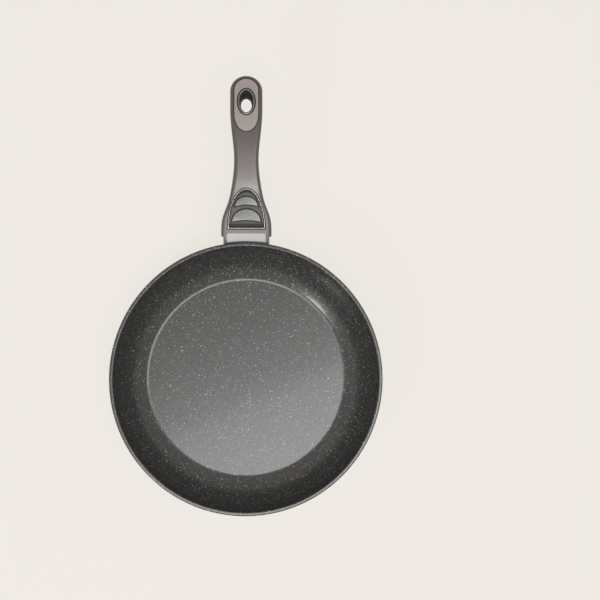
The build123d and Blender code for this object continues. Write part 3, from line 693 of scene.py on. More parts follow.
@dataclass(frozen=True)
class SpeckledCoating:
    """The stone-look coating: matt charcoal with pale flecks, finer grit and a few dark specks."""

    base: Colour = (0.022, 0.022, 0.0213)
    pale: Colour = (0.62, 0.61, 0.59)
    grit: Colour = (0.155, 0.152, 0.148)
    dark: Colour = (0.008, 0.008, 0.008)
    roughness: Flat = (0.26, 0.34)
    gloss: float = 0.6
    coat: float = 0.2
    coat_roughness: float = 0.1
    grit_layer: Flecks = Flecks(1.1, 0.55, (0.2, 0.5), 0.9)
    dark_layer: Flecks = Flecks(4.6, 0.22, (0.1, 0.17), 1.7)
    large_layer: Flecks = Flecks(3.6, 0.36, (0.09, 0.19), 0.4)
    small_layer: Flecks = Flecks(1.8, 0.40, (0.14, 0.31), 2.3)
    depth: float = 0.06

    def make(self) -> bpy.types.Material:
        """Makes the material.

        Returns:
            The material.
        """
        recipe = Recipe("pan_coating")
        cloud = recipe.spread(recipe.noise(1.1, 3), (0.35, 0.7))
        ground = recipe.blend(cloud, self.base, tinted(self.base, 1.35))
        ground = recipe.blend(self.grit_layer.mask(recipe), ground, self.grit)
        ground = recipe.blend(self.dark_layer.mask(recipe), ground, self.dark)
        pale = recipe.sum(
            "MAXIMUM", self.large_layer.mask(recipe), self.small_layer.mask(recipe)
        )
        ground = recipe.blend(pale, ground, self.pale)
        recipe.set(
            Base_Color=ground,
            Specular_IOR_Level=self.gloss,
            Coat_Weight=self.coat,
            Coat_Roughness=self.coat_roughness,
        )
        roughness = recipe.spread(recipe.noise(0.9, 3), MOST_OF_NOISE, self.roughness)
        recipe.set(Roughness=roughness)
        texture = recipe.sum("ADD", recipe.noise(0.7, 2), recipe.sum("MULTIPLY", pale, 0.6))
        recipe.relief(texture, self.depth, strength=0.35)
        return recipe.material


@dataclass(frozen=True)
class TurnedMetal:
    """Metal turned on a lathe: fine rings about the pan's axis spread the light across them."""

    name: str
    colour: Colour
    roughness: Flat
    groove: float
    anisotropy: float
    depth: float

    def make(self) -> bpy.types.Material:
        """Makes the material.

        Returns:
            The material.
        """
        recipe = Recipe(self.name)
        spot = recipe.where()
        radius = recipe.add(
            "ShaderNodeVectorMath",
            {0: recipe.vector("MULTIPLY", spot, (1, 1, 0))},
            operation="LENGTH",
        ).outputs["Value"]
        rings = recipe.add(
            "ShaderNodeTexNoise",
            {"W": radius, "Scale": 1 / (self.groove * MM), "Detail": 2.0},
            noise_dimensions="1D",
        ).outputs["Fac"]
        across = recipe.vector("CROSS_PRODUCT", (0, 0, 1), spot)
        tangent = recipe.vector("NORMALIZE", across)
        tint = recipe.blend(
            recipe.spread(rings, MOST_OF_NOISE), tinted(self.colour, 0.82), self.colour
        )
        smudge = recipe.noise(14, 3)
        recipe.set(
            Base_Color=tint,
            Metallic=1.0,
            Anisotropic=self.anisotropy,
            Tangent=tangent,
            Roughness=recipe.spread(
                recipe.sum("ADD", rings, smudge), GRAIN_AND_SMUDGE, self.roughness
            ),
        )
        recipe.relief(rings, self.depth, strength=0.4)
        return recipe.material


@dataclass(frozen=True)
class WorkedMetal:
    """Drawn, plated or cast metal with brushing along one axis, fine grain and faint smudges."""

    name: str
    colour: Colour
    roughness: Flat
    brushing: Triple = (1, 1, 1)
    grain: float = 0.5
    depth: float = 0.01
    metallic: float = 1.0
    coat: float = 0.0

    def make(self) -> bpy.types.Material:
        """Makes the material.

        Returns:
            The material.
        """
        recipe = Recipe(self.name)
        grain = recipe.noise(self.grain, 3, recipe.stretched(self.brushing))
        smudge = recipe.noise(9, 3)
        tint = recipe.blend(
            recipe.spread(grain, MOST_OF_NOISE), tinted(self.colour, 0.86), self.colour
        )
        recipe.set(
            Base_Color=tint,
            Metallic=self.metallic,
            Coat_Weight=self.coat,
            Coat_Roughness=0.2,
            Roughness=recipe.spread(
                recipe.sum("ADD", grain, smudge), GRAIN_AND_SMUDGE, self.roughness
            ),
        )
        recipe.relief(grain, self.depth, strength=0.5)
        return recipe.material


@dataclass(frozen=True)
class MouldedPlastic:
    """Moulded plastic with a fine leathery grain."""

    name: str
    colour: Colour
    roughness: Flat
    grain: float = 0.45
    depth: float = 0.05

    def make(self) -> bpy.types.Material:
        """Makes the material.

        Returns:
            The material.
        """
        recipe = Recipe(self.name)
        pebbles = recipe.add(
            "ShaderNodeTexVoronoi",
            {"Vector": recipe.where(), "Scale": 1 / (self.grain * MM)},
            feature="SMOOTH_F1",
        ).outputs["Distance"]
        smudge = recipe.noise(7, 3)
        tint = recipe.blend(
            recipe.spread(smudge, (0.35, 0.65)),
            tinted(self.colour, 0.85),
            tinted(self.colour, 1.15),
        )
        recipe.set(
            Base_Color=tint,
            Roughness=recipe.spread(
                recipe.sum("ADD", pebbles, smudge), (0.6, 1.3), self.roughness
            ),
        )
        recipe.relief(pebbles, self.depth, strength=0.5)
        return recipe.material


class Finishes:
    """All the part's materials, made once."""

    def __init__(self) -> None:
        """Makes every material."""
        self.coating = SpeckledCoating().make()
        self.disc = TurnedMetal(
            "disc_steel", (0.56, 0.53, 0.50), (0.24, 0.36), groove=0.35, anisotropy=0.75, depth=0.01
        ).make()
        self.ring = TurnedMetal(
            "ring_aluminium", (0.78, 0.77, 0.76), (0.22, 0.34),
            groove=0.5, anisotropy=0.5, depth=0.012,
        ).make()
        self.bevel = TurnedMetal(
            "bevel_aluminium", (0.86, 0.85, 0.84), (0.06, 0.12),
            groove=0.9, anisotropy=0.3, depth=0.004,
        ).make()
        self.bracket = WorkedMetal(
            "bracket_steel", (0.23, 0.228, 0.23), (0.32, 0.38), grain=0.1, depth=0.0004
        ).make()
        self.inner = WorkedMetal(
            "inner_steel", (0.46, 0.455, 0.45), (0.32, 0.45), brushing=(1, 0.15, 0.15)
        ).make()
        self.fastener = WorkedMetal("fastener_steel", (0.52, 0.51, 0.49), (0.25, 0.4)).make()
        self.spring = WorkedMetal("spring_steel", (0.40, 0.40, 0.41), (0.2, 0.32)).make()
        self.lacquer = WorkedMetal(
            "grip_plastic", (0.130, 0.119, 0.1175), (0.34, 0.46),
            grain=0.35, depth=0.012, metallic=0.72, coat=0.15,
        ).make()
        self.trim = WorkedMetal(
            "plate_trim", (0.385, 0.348, 0.345), (0.36, 0.48),
            grain=0.3, depth=0.012, metallic=0.7, coat=0.1,
        ).make()
        self.bright = WorkedMetal("bright_trim", (0.66, 0.65, 0.64), (0.26, 0.34)).make()
        self.eyelet = WorkedMetal("eyelet_trim", (0.20, 0.195, 0.19), (0.25, 0.36)).make()
        # Near black painted shade: it goes on the cut faces of hollows, grooves, seats and bores,
        # where shade falls, in place of the material they are cut in.
        self.dark = MouldedPlastic("painted_shade_hollows", (0.012, 0.012, 0.012), (0.5, 0.65)).make()
        self.button = MouldedPlastic("button_plastic", (0.085, 0.083, 0.080), (0.42, 0.58)).make()
        self.pad = WorkedMetal(
            "pad_trim", (0.15, 0.148, 0.143), (0.34, 0.46), grain=0.4, depth=0.015, metallic=0.75
        ).make()


def dress(piece: Piece, *materials: bpy.types.Material) -> Piece:
    """Gives a piece its materials, in place of what it had.

    Args:
        piece: The piece.
        materials: The materials in order. The first one goes all over.

    Returns:
        The piece.
    """
    piece.data.materials.clear()
    for material in materials:
        piece.data.materials.append(material)
    piece.data.polygons.foreach_set("material_index", [0] * len(piece.data.polygons))
    return piece


def place(piece: Piece, body: Body, slot: str, *nodes: str) -> Piece:
    """Hangs a finished piece on its body, and hides the part's nodes that it replaces.

    Args:
        piece: The piece.
        body: The body that it rides on.
        slot: A material slot of the record; not used.
        nodes: The part's nodes that it replaces.

    Returns:
        The piece.
    """
    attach(piece, body.value)
    if nodes:
        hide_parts(*nodes)
    log.info("%s: %d faces, rides on %s", piece.name, len(piece.data.polygons), body.value)
    return piece


# Pieces


@dataclass
class Assembly:
    """A sub-assembly, which is built in the part's finishes."""

    finishes: Finishes


@dataclass
class Pan(Assembly):
    """The forged body: curved wall, coated inside and out, over a machined base."""

    height: float = 50.0
    wall: float = 4.0
    floor: float = 5.0
    arc_centre: Flat = (74.801, 59.163)
    arc_radius: float = 65.84
    floor_fillet: float = 8.0
    rim_outer: float = 1.5
    rim_inner: float = 1.1
    bevel_edge: Flat = (111.5, 4.5)
    groove: Flat = (103.5, 0.5)
    pocket: Flat = (96.6, 0.8)
    turns: int = 256
    edge_round: float = 0.16
    floor_rings: tuple[float, ...] = (0, 12, 40, 70, 92, 101, 102.2)
    pocket_rings: tuple[float, ...] = (60, 0)
    bevel_foot: Flat = (0.4, 0.2)
    base_ring_edge: float = 0.7
    edge_margin: float = 0.1

    def tangent(self, centre: Flat) -> float:
        """The angle, in degrees, at which a point lies from the wall arc's centre."""
        return math.degrees(
            math.atan2(centre[1] - self.arc_centre[1], centre[0] - self.arc_centre[0])
        )

    def round_centre(self, height: float, reach: float) -> Flat:
        """Finds a round that meets the wall's arc.

        Args:
            height: The height of the round's centre.
            reach: How far that is from the wall arc's centre.

        Returns:
            The round's centre, in r and z.
        """
        run = math.sqrt(reach**2 - (height - self.arc_centre[1]) ** 2)
        return self.arc_centre[0] + run, height

    def profile(self) -> list[Flat]:
        """Draws the section.

        Returns:
            Its points in r and z, from the floor's centre round to the pocket's.
        """
        inner = self.arc_radius - self.wall
        fillet = self.round_centre(self.floor + self.floor_fillet, inner - self.floor_fillet)
        inner_round = self.round_centre(self.height - self.rim_inner, inner + self.rim_inner)
        outer_round = self.round_centre(
            self.height - self.rim_outer, self.arc_radius - self.rim_outer
        )
        low = self.tangent(fillet)
        high = self.tangent(inner_round)
        outer_high = self.tangent(outer_round)
        outer_low = self.tangent(self.bevel_edge)
        groove, groove_depth = self.groove
        groove_end = groove + groove_depth
        pocket, ceiling = self.pocket
        return [
            *((radius, self.floor) for radius in self.floor_rings),
            *arc(fillet, self.floor_fillet, -90, low, 12),
            *arc(self.arc_centre, inner, low, high, 26)[1:],
            *arc(inner_round, self.rim_inner, 180 + high, 90, 6)[1:],
            *arc(outer_round, self.rim_outer, 90, outer_high, 8),
            *arc(self.arc_centre, self.arc_radius, outer_high, outer_low, 30)[1:],
            (groove_end + self.bevel_foot[0], groove_depth + self.bevel_foot[1]),
            (groove_end, groove_depth),
            (groove, groove_depth),
            (groove, 0),
            (groove - self.base_ring_edge, 0),
            (pocket + self.base_ring_edge, 0),
            (pocket, 0),
            (pocket, ceiling),
            *((radius, ceiling) for radius in self.pocket_rings),
        ]

    def finish_at(self, radius: float, height: float) -> BaseFinish:
        """Chooses the material that covers a place.

        Args:
            radius: The place's distance from the pan's axis.
            height: Its height.

        Returns:
            The material's slot.
        """
        edge, top = self.bevel_edge
        if radius > edge - self.edge_margin or height > top + self.edge_margin:
            return BaseFinish.COATING
        return BaseFinish.RING if radius < sum(self.groove) else BaseFinish.BEVEL

    def build(self) -> None:
        """Turns the section about the pan's axis and dresses it."""
        body = edge_run("pan_shell", [at(r, 0, z) for r, z in self.profile()])
        with editing(body):
            bpy.ops.mesh.spin(
                steps=self.turns, angle=math.tau, center=(0, 0, 0), axis=(0, 0, 1)
            )
            bpy.ops.mesh.select_all(action="SELECT")
            bpy.ops.mesh.remove_doubles(threshold=2e-6)
            bpy.ops.mesh.normals_make_consistent(inside=False)
        soften(body, self.edge_round, angle=30, segments=2)
        dress(body, self.finishes.coating, self.finishes.ring, self.finishes.bevel)
        for face in body.data.polygons:
            centre = face.center / MM
            finish = self.finish_at(math.hypot(centre.x, centre.y), centre.z)
            face.material_index = finish.value
        shade(body, 24)
        place(body, Body.PAN, "pan_coating", "pan_body")


@dataclass
class BaseStuds(Assembly):
    """The pan's aluminium where it fills the induction disc's holes."""

    radius: float = 1.85
    depth: float = 0.8
    outer: float = 91.5
    pitch: float = 7.9
    rings: int = 12
    first: int = 4
    more: int = 6
    sides: int = 14
    crown: float = 0.16
    dimple: float = 0.95
    dimple_step: Flat = (0.3, -0.22)
    facing: float = 0.9

    def build(self) -> None:
        """Models a stud for each ring of the disc's holes, and copies it round the ring."""
        studs = []
        for ring in range(self.rings):
            radius = self.outer - self.pitch * (self.rings - 1 - ring)
            stud = self.stud(f"base_stud_{ring}", radius)
            holes = self.first + self.more * ring
            with editing(stud):
                bpy.ops.mesh.spin(
                    steps=holes - 1,
                    angle=math.tau * (holes - 1) / holes,
                    dupli=True,
                    center=(0, 0, 0),
                    axis=(0, 0, 1),
                )
            studs.append(stud)
        piece = joined("base_studs", studs)
        dress(piece, self.finishes.ring)
        shade(piece, 24)
        place(piece, Body.PAN, "pan_coating")

    def stud(self, name: str, radius: float) -> Piece:
        """One stud, with a rounded rim and a dimple in its face.

        Args:
            name: The stud's name.
            radius: How far from the pan's axis it stands.

        Returns:
            The stud.
        """
        bpy.ops.object.select_all(action="DESELECT")
        bpy.ops.mesh.primitive_cylinder_add(
            vertices=self.sides,
            radius=self.radius * MM,
            depth=self.depth * MM,
            location=at(radius, 0, self.depth / 2),
        )
        stud = bpy.context.active_object
        stud.name = stud.data.name = name
        bpy.ops.object.transform_apply(location=True, rotation=True, scale=True)
        with editing(stud, everything=False):
            bpy.ops.mesh.select_mode(type="FACE")
            mesh = bmesh.from_edit_mesh(stud.data)
            for face in mesh.faces:
                face.select_set(face.normal.z > self.facing)
            bpy.ops.mesh.delete(type="FACE")
            mesh = bmesh.from_edit_mesh(stud.data)
            for face in mesh.faces:
                face.select_set(face.normal.z < -self.facing)
            bpy.ops.mesh.inset(thickness=self.crown * MM, depth=0)
            bpy.ops.mesh.inset(thickness=(self.radius - self.crown - self.dimple) * MM, depth=0)
            lip, drop = self.dimple_step
            bpy.ops.mesh.inset(thickness=lip * MM, depth=drop * MM)
            mesh = bmesh.from_edit_mesh(stud.data)
            for vertex in mesh.verts:
                away = (vertex.co - at(radius, 0, vertex.co.z / MM)).length
                if away > 0.98 * self.radius * MM and vertex.co.z < 0.1 * MM:
                    vertex.co.z = self.crown * MM
            bmesh.update_edit_mesh(stud.data)
        return stud


def arch(base: float, half_width: float, height: float, steps: int = 64) -> list[Flat]:
    """Outline of a half ellipse, flat at its base.

    Args:
        base: The u of its flat side.
        half_width: Half the length of that side.
        height: How far the arch reaches along u.
        steps: How many edges the curve has.

    Returns:
        The outline's points, in x and u.
    """
    curve = oval((0, base), (half_width, height), 0, 180, steps)
    side = ARCH_SIDE_EDGES
    low = [(-half_width + 2 * half_width * k / side, base) for k in range(1, side)]
    return [*curve, *low]


def ellipse(
    centre_y: float, half_width: float, half_length: float, steps: int = 72
) -> list[Flat]:
    """Outline of an upright ellipse on the mid plane, in x and y."""
    return oval((0, centre_y), (half_width, half_length), 0, 360, steps)[:-1]


@dataclass
class GripLines:
    """The lines that the handle is drawn from: its side view, its plan and its hanging hole."""

    widths: tuple[Flat, ...] = (
        (25.8, 149.4), (24.6, 163.3), (18.9, 178.7), (15.1, 194.4), (12.4, 224.0), (15.6, 258.0),
        (16.4, 276.0),
    )
    top: tuple[Flat, ...] = (
        (58.0, 13.6), (82.2, 10.4), (107.5, 4.2), (130.1, -4.1), (152.0, -14.5), (178.9, -28.7),
    )
    bottom: tuple[Flat, ...] = (
        (42.0, -12.0), (72.0, -11.0), (99.8, -13.2), (123.9, -20.1), (146.5, -31.2),
        (171.6, -44.8),
    )
    dip: float = math.radians(28.5)
    inside: float = -14.0
    start: float = 124.6
    start_run: float = 12.4
    tip_centre: float = 292.6
    tip_radius: float = 16.4
    hole_y: float = 281.0
    hole_z: float = 70.0
    hole_lean: float = math.radians(8.5)
    pitch: float = 2.6
    tip_run_edges: int = 6
    blank: Flat = (20.0, 80.0)
    blank_margins: Flat = (6.0, 8.0)
    blank_pitch: float = 3.0
    blank_half_width: float = 30.0

    def __post_init__(self) -> None:
        """Draws the side view's two lines once, in Y and Z."""
        slope = (math.cos(self.dip), -math.sin(self.dip))
        self.top_run = self.side_line(self.top, slope)
        self.bottom_run = self.side_line(self.bottom, slope)

    def side_line(self, points: Sequence[Flat], slope: Flat) -> np.ndarray:
        """Draws one line of the side view.

        Args:
            points: What it passes through, in u and w.
            slope: Its heading at the tip.

        Returns:
            Its points in Y and Z, from inside the pan's edge to the tip.
        """
        curve = smooth_run(points, (1, 0), slope, 1.5)
        return np.array([BRACKET.upright(u, w) for u, w in [(self.inside, points[0][1]), *curve]])

    def top_at(self, y: float) -> float:
        """The height of the handle's top on a line across it."""
        return float(np.interp(y, self.top_run[:, 0], self.top_run[:, 1]))

    def bottom_at(self, y: float) -> float:
        """The height of its underside."""
        return float(np.interp(y, self.bottom_run[:, 0], self.bottom_run[:, 1]))

    def outline(self) -> list[Flat]:
        """Draws the plan.

        Returns:
            Its points in x and y, from the pan on the right, round the tip, to the left.
        """
        half, shoulder = self.widths[-1]
        right = [(self.widths[0][0], self.start + self.start_run * k) for k in range(2)]
        right += smooth_run(self.widths, (0, 1), (0, 1), self.pitch)
        rise, edges = self.tip_centre - shoulder, self.tip_run_edges
        right += [(half, shoulder + rise * k / edges) for k in range(1, edges)]
        right += arc((0, self.tip_centre), self.tip_radius, 0, 90, 18)[:-1]
        tip = (0.0, self.tip_centre + self.tip_radius)
        return [*right, tip, *((-x, y) for x, y in reversed(right))]

    def rail(self, inset: float, height: Callable[[float], float], drop: float) -> list[Vector]:
        """The outline moved inwards, at a height that changes along the handle.

        Args:
            inset: How far it is moved.
            height: The height at each Y.
            drop: What is taken off that height.

        Returns:
            The rail's points, in metres.
        """
        plan = np.array(self.outline())
        ahead = np.gradient(plan, axis=0)
        ahead[0], ahead[-1] = (0, 1), (0, -1)
        ahead /= np.linalg.norm(ahead, axis=1)[:, None]
        moved = plan + inset * np.column_stack((-ahead[:, 1], ahead[:, 0]))
        middle = len(moved) // 2
        moved[middle, 0] = 0
        return [at(x, y, height(y) - drop) for x, y in moved]

    def over(self, name: str, outline: Sequence[Flat], low: float, high: float) -> Piece:
        """A solid with an outline in plan, between two heights over the handle's curved top.

        Args:
            name: The solid's name.
            outline: Its outline in x and y.
            low: Where it starts over the top, in millimetres.
            high: Where it ends.

        Returns:
            The solid.
        """
        base, thickness = self.blank
        solid = prism(name, [at(x, y, base) for x, y in outline], at(0, 0, thickness))
        ys = [y for _, y in outline]
        before, after = self.blank_margins
        reach = np.arange(min(ys) - before, max(ys) + after, self.blank_pitch)
        half = self.blank_half_width
        under = [at(-half, y, self.top_at(y) + low) for y in reach]
        above = [at(-half, y, self.top_at(y) + high) for y in reversed(reach)]
        carve(solid, prism("layer", [*under, *above], at(2 * half, 0, 0)), Carve.WITHIN)
        return solid

    def hole_centre(self, z: float) -> float:
        """The Y of the hanging hole's leaning axis at a height."""
        return self.hole_y + (z - self.hole_z) * math.tan(self.hole_lean)

    def hole_ring(
        self, z: float, half_width: float, half_length: float, back: float
    ) -> list[Vector]:
        """A ring about the hanging hole.

        Args:
            z: Its height.
            half_width: Its half width.
            half_length: Its half length.
            back: How far it is set back from the hole's axis towards the pan.

        Returns:
            The ring's points, in metres.
        """
        centre = self.hole_centre(z) - back
        return [at(x, y, z) for x, y in ellipse(centre, half_width, half_length)]


@dataclass(frozen=True)
class Room:
    """A rounded box cut out of the handle along the bracket, in x, u and w."""

    width: float
    height: float
    corner: float
    middle: float
    start: float
    end: float


@dataclass
class Grip(Assembly):
    """The handle's shell, with its slanted mouth, its window, its grooves and the rooms inside."""

    top_round: float = 4.0
    bottom_round: float = 6.0
    deck: float = 13.6
    belly: float = -12.0
    mouth: Flat = (12.4, 18.4)
    notch: Flat = (4.0, 21.0)
    lip: Flat = (8.6, 1.0)
    groove: float = 1.0
    plate_depth: float = 1.35
    eyelet_seat: Flat = (9.1, 13.9)
    eyelet_depth: float = 3.05
    window: Triple = (22.2, 18.3, 40.0)
    pocket_side: float = 1.0
    pocket_floor: float = 9.6
    ledge: float = 11.6
    bezel_room: float = 1.75
    hole: tuple[tuple[float, float, float, float], ...] = (
        (40.0, 7.4, 11.4, 1.0), (50.0, 7.0, 10.8, 1.0), (54.5, 6.0, 9.2, 1.2),
        (58.5, 5.5, 8.2, 1.2), (62.0, 5.6, 8.9, 0.9), (66.5, 6.2, 10.6, 0.3),
        (69.0, 6.4, 11.2, 0.0), (84.0, 6.4, 11.2, 0.0),
    )
    scoop: tuple[Triple, ...] = ((40.5, 10.3, 5.6), (58.3, 4.9, 0.5))
    edge_round: float = 0.32
    shell_lip: float = 0.5
    round_edges: int = 6
    beyond: float = 40.0
    far_end: float = -90.0
    clear_above: float = 12.0
    sleeve_room: Room = Room(47.9, 17.1, 4.5, -1.0, 0, 27.5)
    receiver_room: Room = Room(40.1, 14.1, 2.25, -2.4, 27, 29.35)
    tongue_room: Room = Room(23.7, 7.7, 0.05, -1.0, 27, 64.05)
    catch_room: Room = Room(17.0, 5.4, 0.05, 5.5, 29.35, 57.35)
    fork_room: Room = Room(15.4, 4.0, 0.05, 7.65, 33.7, 48.6)
    spring_room: Room = Room(3.2, 3.2, 0.05, 8.05, 45.6, 58.8)
    screw_tilt: float = math.radians(11.0)
    screw_seat: Flat = (27.3, -6.7)
    screw_shank: Triple = (1.8, 0, 13)
    screw_head: Triple = (3.05, 12.5, 16.1)

    def __post_init__(self) -> None:
        """Draws the lines that the shell is lofted from, and lofts it."""
        self.lines = GripLines()
        self.shell = dress(self.loft_shell(), self.finishes.lacquer)

    def cut(self, tool: Piece, finish: bpy.types.Material) -> None:
        """Cuts a solid out of the shell, and leaves a finish on the cut."""
        carve(self.shell, dress(tool, finish))

    def loft_shell(self) -> Piece:
        """Lofts the shell: a rounded edge above, a wall, and a rounder edge below.

        Returns:
            The shell, as a solid.
        """
        lines, edges = self.lines, self.round_edges
        turns = [math.radians(90 * k / edges) for k in range(edges + 1)]
        rails = [lines.rail(self.top_round + self.shell_lip, lines.top_at, 0)]
        for turn in reversed(turns):
            inset = self.top_round * (1 - math.cos(turn))
            drop = self.top_round * (1 - math.sin(turn))
            rails.append(lines.rail(inset, lines.top_at, drop))
        for turn in turns:
            inset = self.bottom_round * (1 - math.cos(turn))
            rise = self.bottom_round * (1 - math.sin(turn))
            rails.append(lines.rail(inset, lines.bottom_at, -rise))
        rails.append(lines.rail(self.bottom_round + self.shell_lip, lines.bottom_at, 0))
        shell = loft("grip_shell", rails, ring=False, wrap=False)
        for rail in (0, len(rails) - 1):
            self.bridge_arms(shell, rail * len(rails[0]), len(rails[0]))
        return closed(shell)

    @staticmethod
    def bridge_arms(shell: Piece, first: int, count: int) -> None:
        """Bridges the right arm of a rail to its left arm, across the handle.

        Args:
            shell: The shell in hand.
            first: The number of the rail's first vertex.
            count: How many vertices the rail has.
        """
        tip = first + count // 2
        with editing(shell, everything=False):
            bpy.ops.mesh.select_mode(type="EDGE")
            mesh = bmesh.from_edit_mesh(shell.data)
            for edge in mesh.edges:
                ends = [vertex.index for vertex in edge.verts]
                on_rail = all(first <= end < first + count for end in ends)
                edge.select_set(on_rail and tip not in ends)
            bmesh.update_edit_mesh(shell.data)
            bpy.ops.mesh.bridge_edge_loops()

    def cut_mouth(self) -> None:
        """Cuts the slanted mouth, its notch and the bevelled lip under it."""
        high, low = self.mouth
        lean, fall = low - high, self.deck - self.belly
        for setback, half in ((0.0, self.beyond), self.notch):
            outline = [
                (low + lean + setback, self.belly - fall),
                (high - lean + setback, self.deck + fall),
                (self.far_end, self.deck + fall),
                (self.far_end, self.belly - fall),
            ]
            self.cut(BRACKET.slab("mouth_cut", outline, half), self.finishes.lacquer)
        back = low + self.notch[0] + self.lip[0]
        rise = self.lip[1] * (1 + fall / self.lip[0] / 2)
        outline = [(back, self.belly), (high, self.belly + rise), (high, 2 * self.belly)]
        self.cut(BRACKET.slab("lip_cut", outline, self.beyond), self.finishes.lacquer)

    def cut_window(self) -> None:
        """Cuts the stepped pocket of the release slide and its bezel; its cut faces are painted
        near black as shade.
        """
        base, half, height = self.window
        for out, low in ((self.pocket_side, self.pocket_floor), (self.bezel_room, self.ledge)):
            outline = arch(base - out, half + out, height + 2 * out)
            cutter = BRACKET.plate("window_cut", outline, low, 2 * self.deck)
            # The pocket's faces take the near-black painted shade.
            self.cut(cutter, self.finishes.dark)

    def cut_tip(self) -> None:
        """Cuts the tip plate's recess with its groove, the eyelet's seat and the hanging hole;
        their cut faces are painted near black as shade, a dark groove round the plate and a dark
        hole.
        """
        lines = self.lines
        recess = TipTrim(self.finishes).plate_outline(self.groove)
        seat = ellipse(lines.hole_y, *self.eyelet_seat)
        for name, outline, depth in (
            ("plate_cut", recess, self.plate_depth),
            ("eyelet_cut", seat, self.eyelet_depth),
        ):
            # The recess, seat and hole faces take the near-black painted shade.
            self.cut(lines.over(name, outline, -depth, self.clear_above), self.finishes.dark)
        rings = [lines.hole_ring(*ring) for ring in self.hole]
        self.cut(closed(loft("hole_cut", rings, ring=True, wrap=False)), self.finishes.dark)

    def cut_scoop(self) -> None:
        """Cuts the screw's scoop out of the underside."""
        rings = []
        for u, half, depth in self.scoop:
            ring = oval((0, self.belly), (half, depth), 0, 360, 48)[:-1]
            rings.append([BRACKET.point(x, u, w) for x, w in ring])
        self.cut(closed(loft("scoop_cut", rings, ring=True, wrap=False)), self.finishes.lacquer)

    def cut_rooms(self) -> None:
        """Cuts the rooms for the sleeve, the receiver, the tongue and what is inside; their walls
        are painted near black as shade.
        """
        for room in (
            self.sleeve_room, self.receiver_room, self.tongue_room, self.catch_room,
            self.fork_room, self.spring_room,
        ):
            section = rounded_box(room.width, room.height, room.corner, room.middle)
            cutter = BRACKET.bar("room_cut", section, room.start, room.end)
            self.cut(cutter, self.finishes.dark)

    def cut_screw(self) -> None:
        """Drills the receiver screw's hole, and the room for its head; their walls are painted near
        black as shade.
        """
        along, across = math.cos(self.screw_tilt), -math.sin(self.screw_tilt)
        axis = (BRACKET.point(0, along, across) - BRACKET.point(0, 0, 0)) / MM
        seat = BRACKET.point(0, *self.screw_seat)
        side = Vector((1, 0, 0))
        for radius, start, end in (self.screw_shank, self.screw_head):
            ring = [
                seat + axis * start * MM + side * x * MM + side.cross(axis) * y * MM
                for x, y in arc((0, 0), radius, 0, 360, 24)[:-1]
            ]
            self.cut(prism("screw_cut", ring, axis * (end - start) * MM), self.finishes.dark)

    def build(self) -> None:
        """Models the shell, softens its edges and dresses it."""
        self.cut_mouth()
        self.cut_window()
        self.cut_tip()
        self.cut_scoop()
        soften(self.shell, self.edge_round, angle=38, segments=2)
        self.cut_rooms()
        self.cut_screw()
        shade(self.shell, 30)
        level(self.shell)
        place(self.shell, Body.HANDLE, "grip_plastic", "handle_grip")


@dataclass
class TipTrim(Assembly):
    """The satin plate let into the handle's tip, and the eyelet that lines its hanging hole."""

    half_width: float = 12.1
    top_centre: float = 293.0
    bottom_centre: float = 267.5
    bottom_length: float = 17.2
    proud: float = 0.15
    depth: float = 1.3
    gap: float = 0.75
    eyelet: Flat = (9.0, 13.8)
    hole: Flat = (6.4, 11.2)
    eyelet_proud: float = 0.9
    bore_facing: float = -0.3
    eyelet_depth: float = 3.0
    eyelet_crest: tuple[Flat, ...] = (
        (0, -1.1), (0.04, -0.7), (0.16, -0.3), (0.32, -0.08), (0.5, 0), (0.68, -0.08),
        (0.84, -0.3), (0.96, -0.7), (1, -1.1),
    )
    opening_cut: Flat = (-9.0, 9.0)
    edge_round: float = 0.28

    def plate_outline(self, outwards: float) -> list[Flat]:
        """The plate's outline: round at the tip, and tapered to a blunt point.

        Args:
            outwards: How far it is moved outwards.

        Returns:
            Its points, in x and y.
        """
        half = self.half_width + outwards
        top = arc((0, self.top_centre), half, 0, 180, 36)
        taper = oval((0, self.bottom_centre), (half, self.bottom_length + outwards), 180, 360, 44)
        return [*top, *taper]

    def build(self) -> None:
        """Models the plate and the eyelet."""
        lines = GripLines()
        plate = lines.over("tip_inlay", self.plate_outline(0), -self.depth, self.proud)
        opening = ellipse(lines.hole_y, *(size + self.gap for size in self.eyelet))
        carve(plate, lines.over("opening_cut", opening, *self.opening_cut))
        soften(plate, self.edge_round, angle=40, segments=2)
        dress(plate, self.finishes.trim)
        shade(plate, 30)
        level(plate)
        place(plate, Body.HANDLE, "plate_trim", "tip_plate")
        self.build_eyelet(lines)

    def build_eyelet(self, lines: GripLines) -> None:
        """Bridges rings round the hanging hole into an eyelet with a rounded crest, its bore
        painted near black as shade.

        Args:
            lines: The handle's lines.
        """
        ring_width = self.eyelet[0] - self.hole[0]
        crest = self.eyelet_proud
        section = [(share, crest + drop) for share, drop in self.eyelet_crest]
        rails = []
        for share, height in ((0, -self.eyelet_depth), *section, (1, -self.eyelet_depth)):
            half, length = (size - share * ring_width for size in self.eyelet)
            lean = share * (height - crest) * math.tan(lines.hole_lean)
            outline = ellipse(lines.hole_y + lean, half, length)
            rails.append([at(x, y, lines.top_at(y) + height) for x, y in outline])
        eyelet = loft("eyelet_ring", rails, ring=True, wrap=True)
        dress(eyelet, self.finishes.eyelet, self.finishes.dark)
        axis = at(0, lines.hole_y, 0)
        # Faces that turn towards the hole's axis take the near-black painted shade.
        for face in eyelet.data.polygons:
            away = (face.center - axis).to_2d().normalized()
            face.material_index = int(away.dot(face.normal.to_2d()) < self.bore_facing)
        shade(eyelet, 50)
        place(eyelet, Body.HANDLE, "bright_trim", "hang_eyelet")


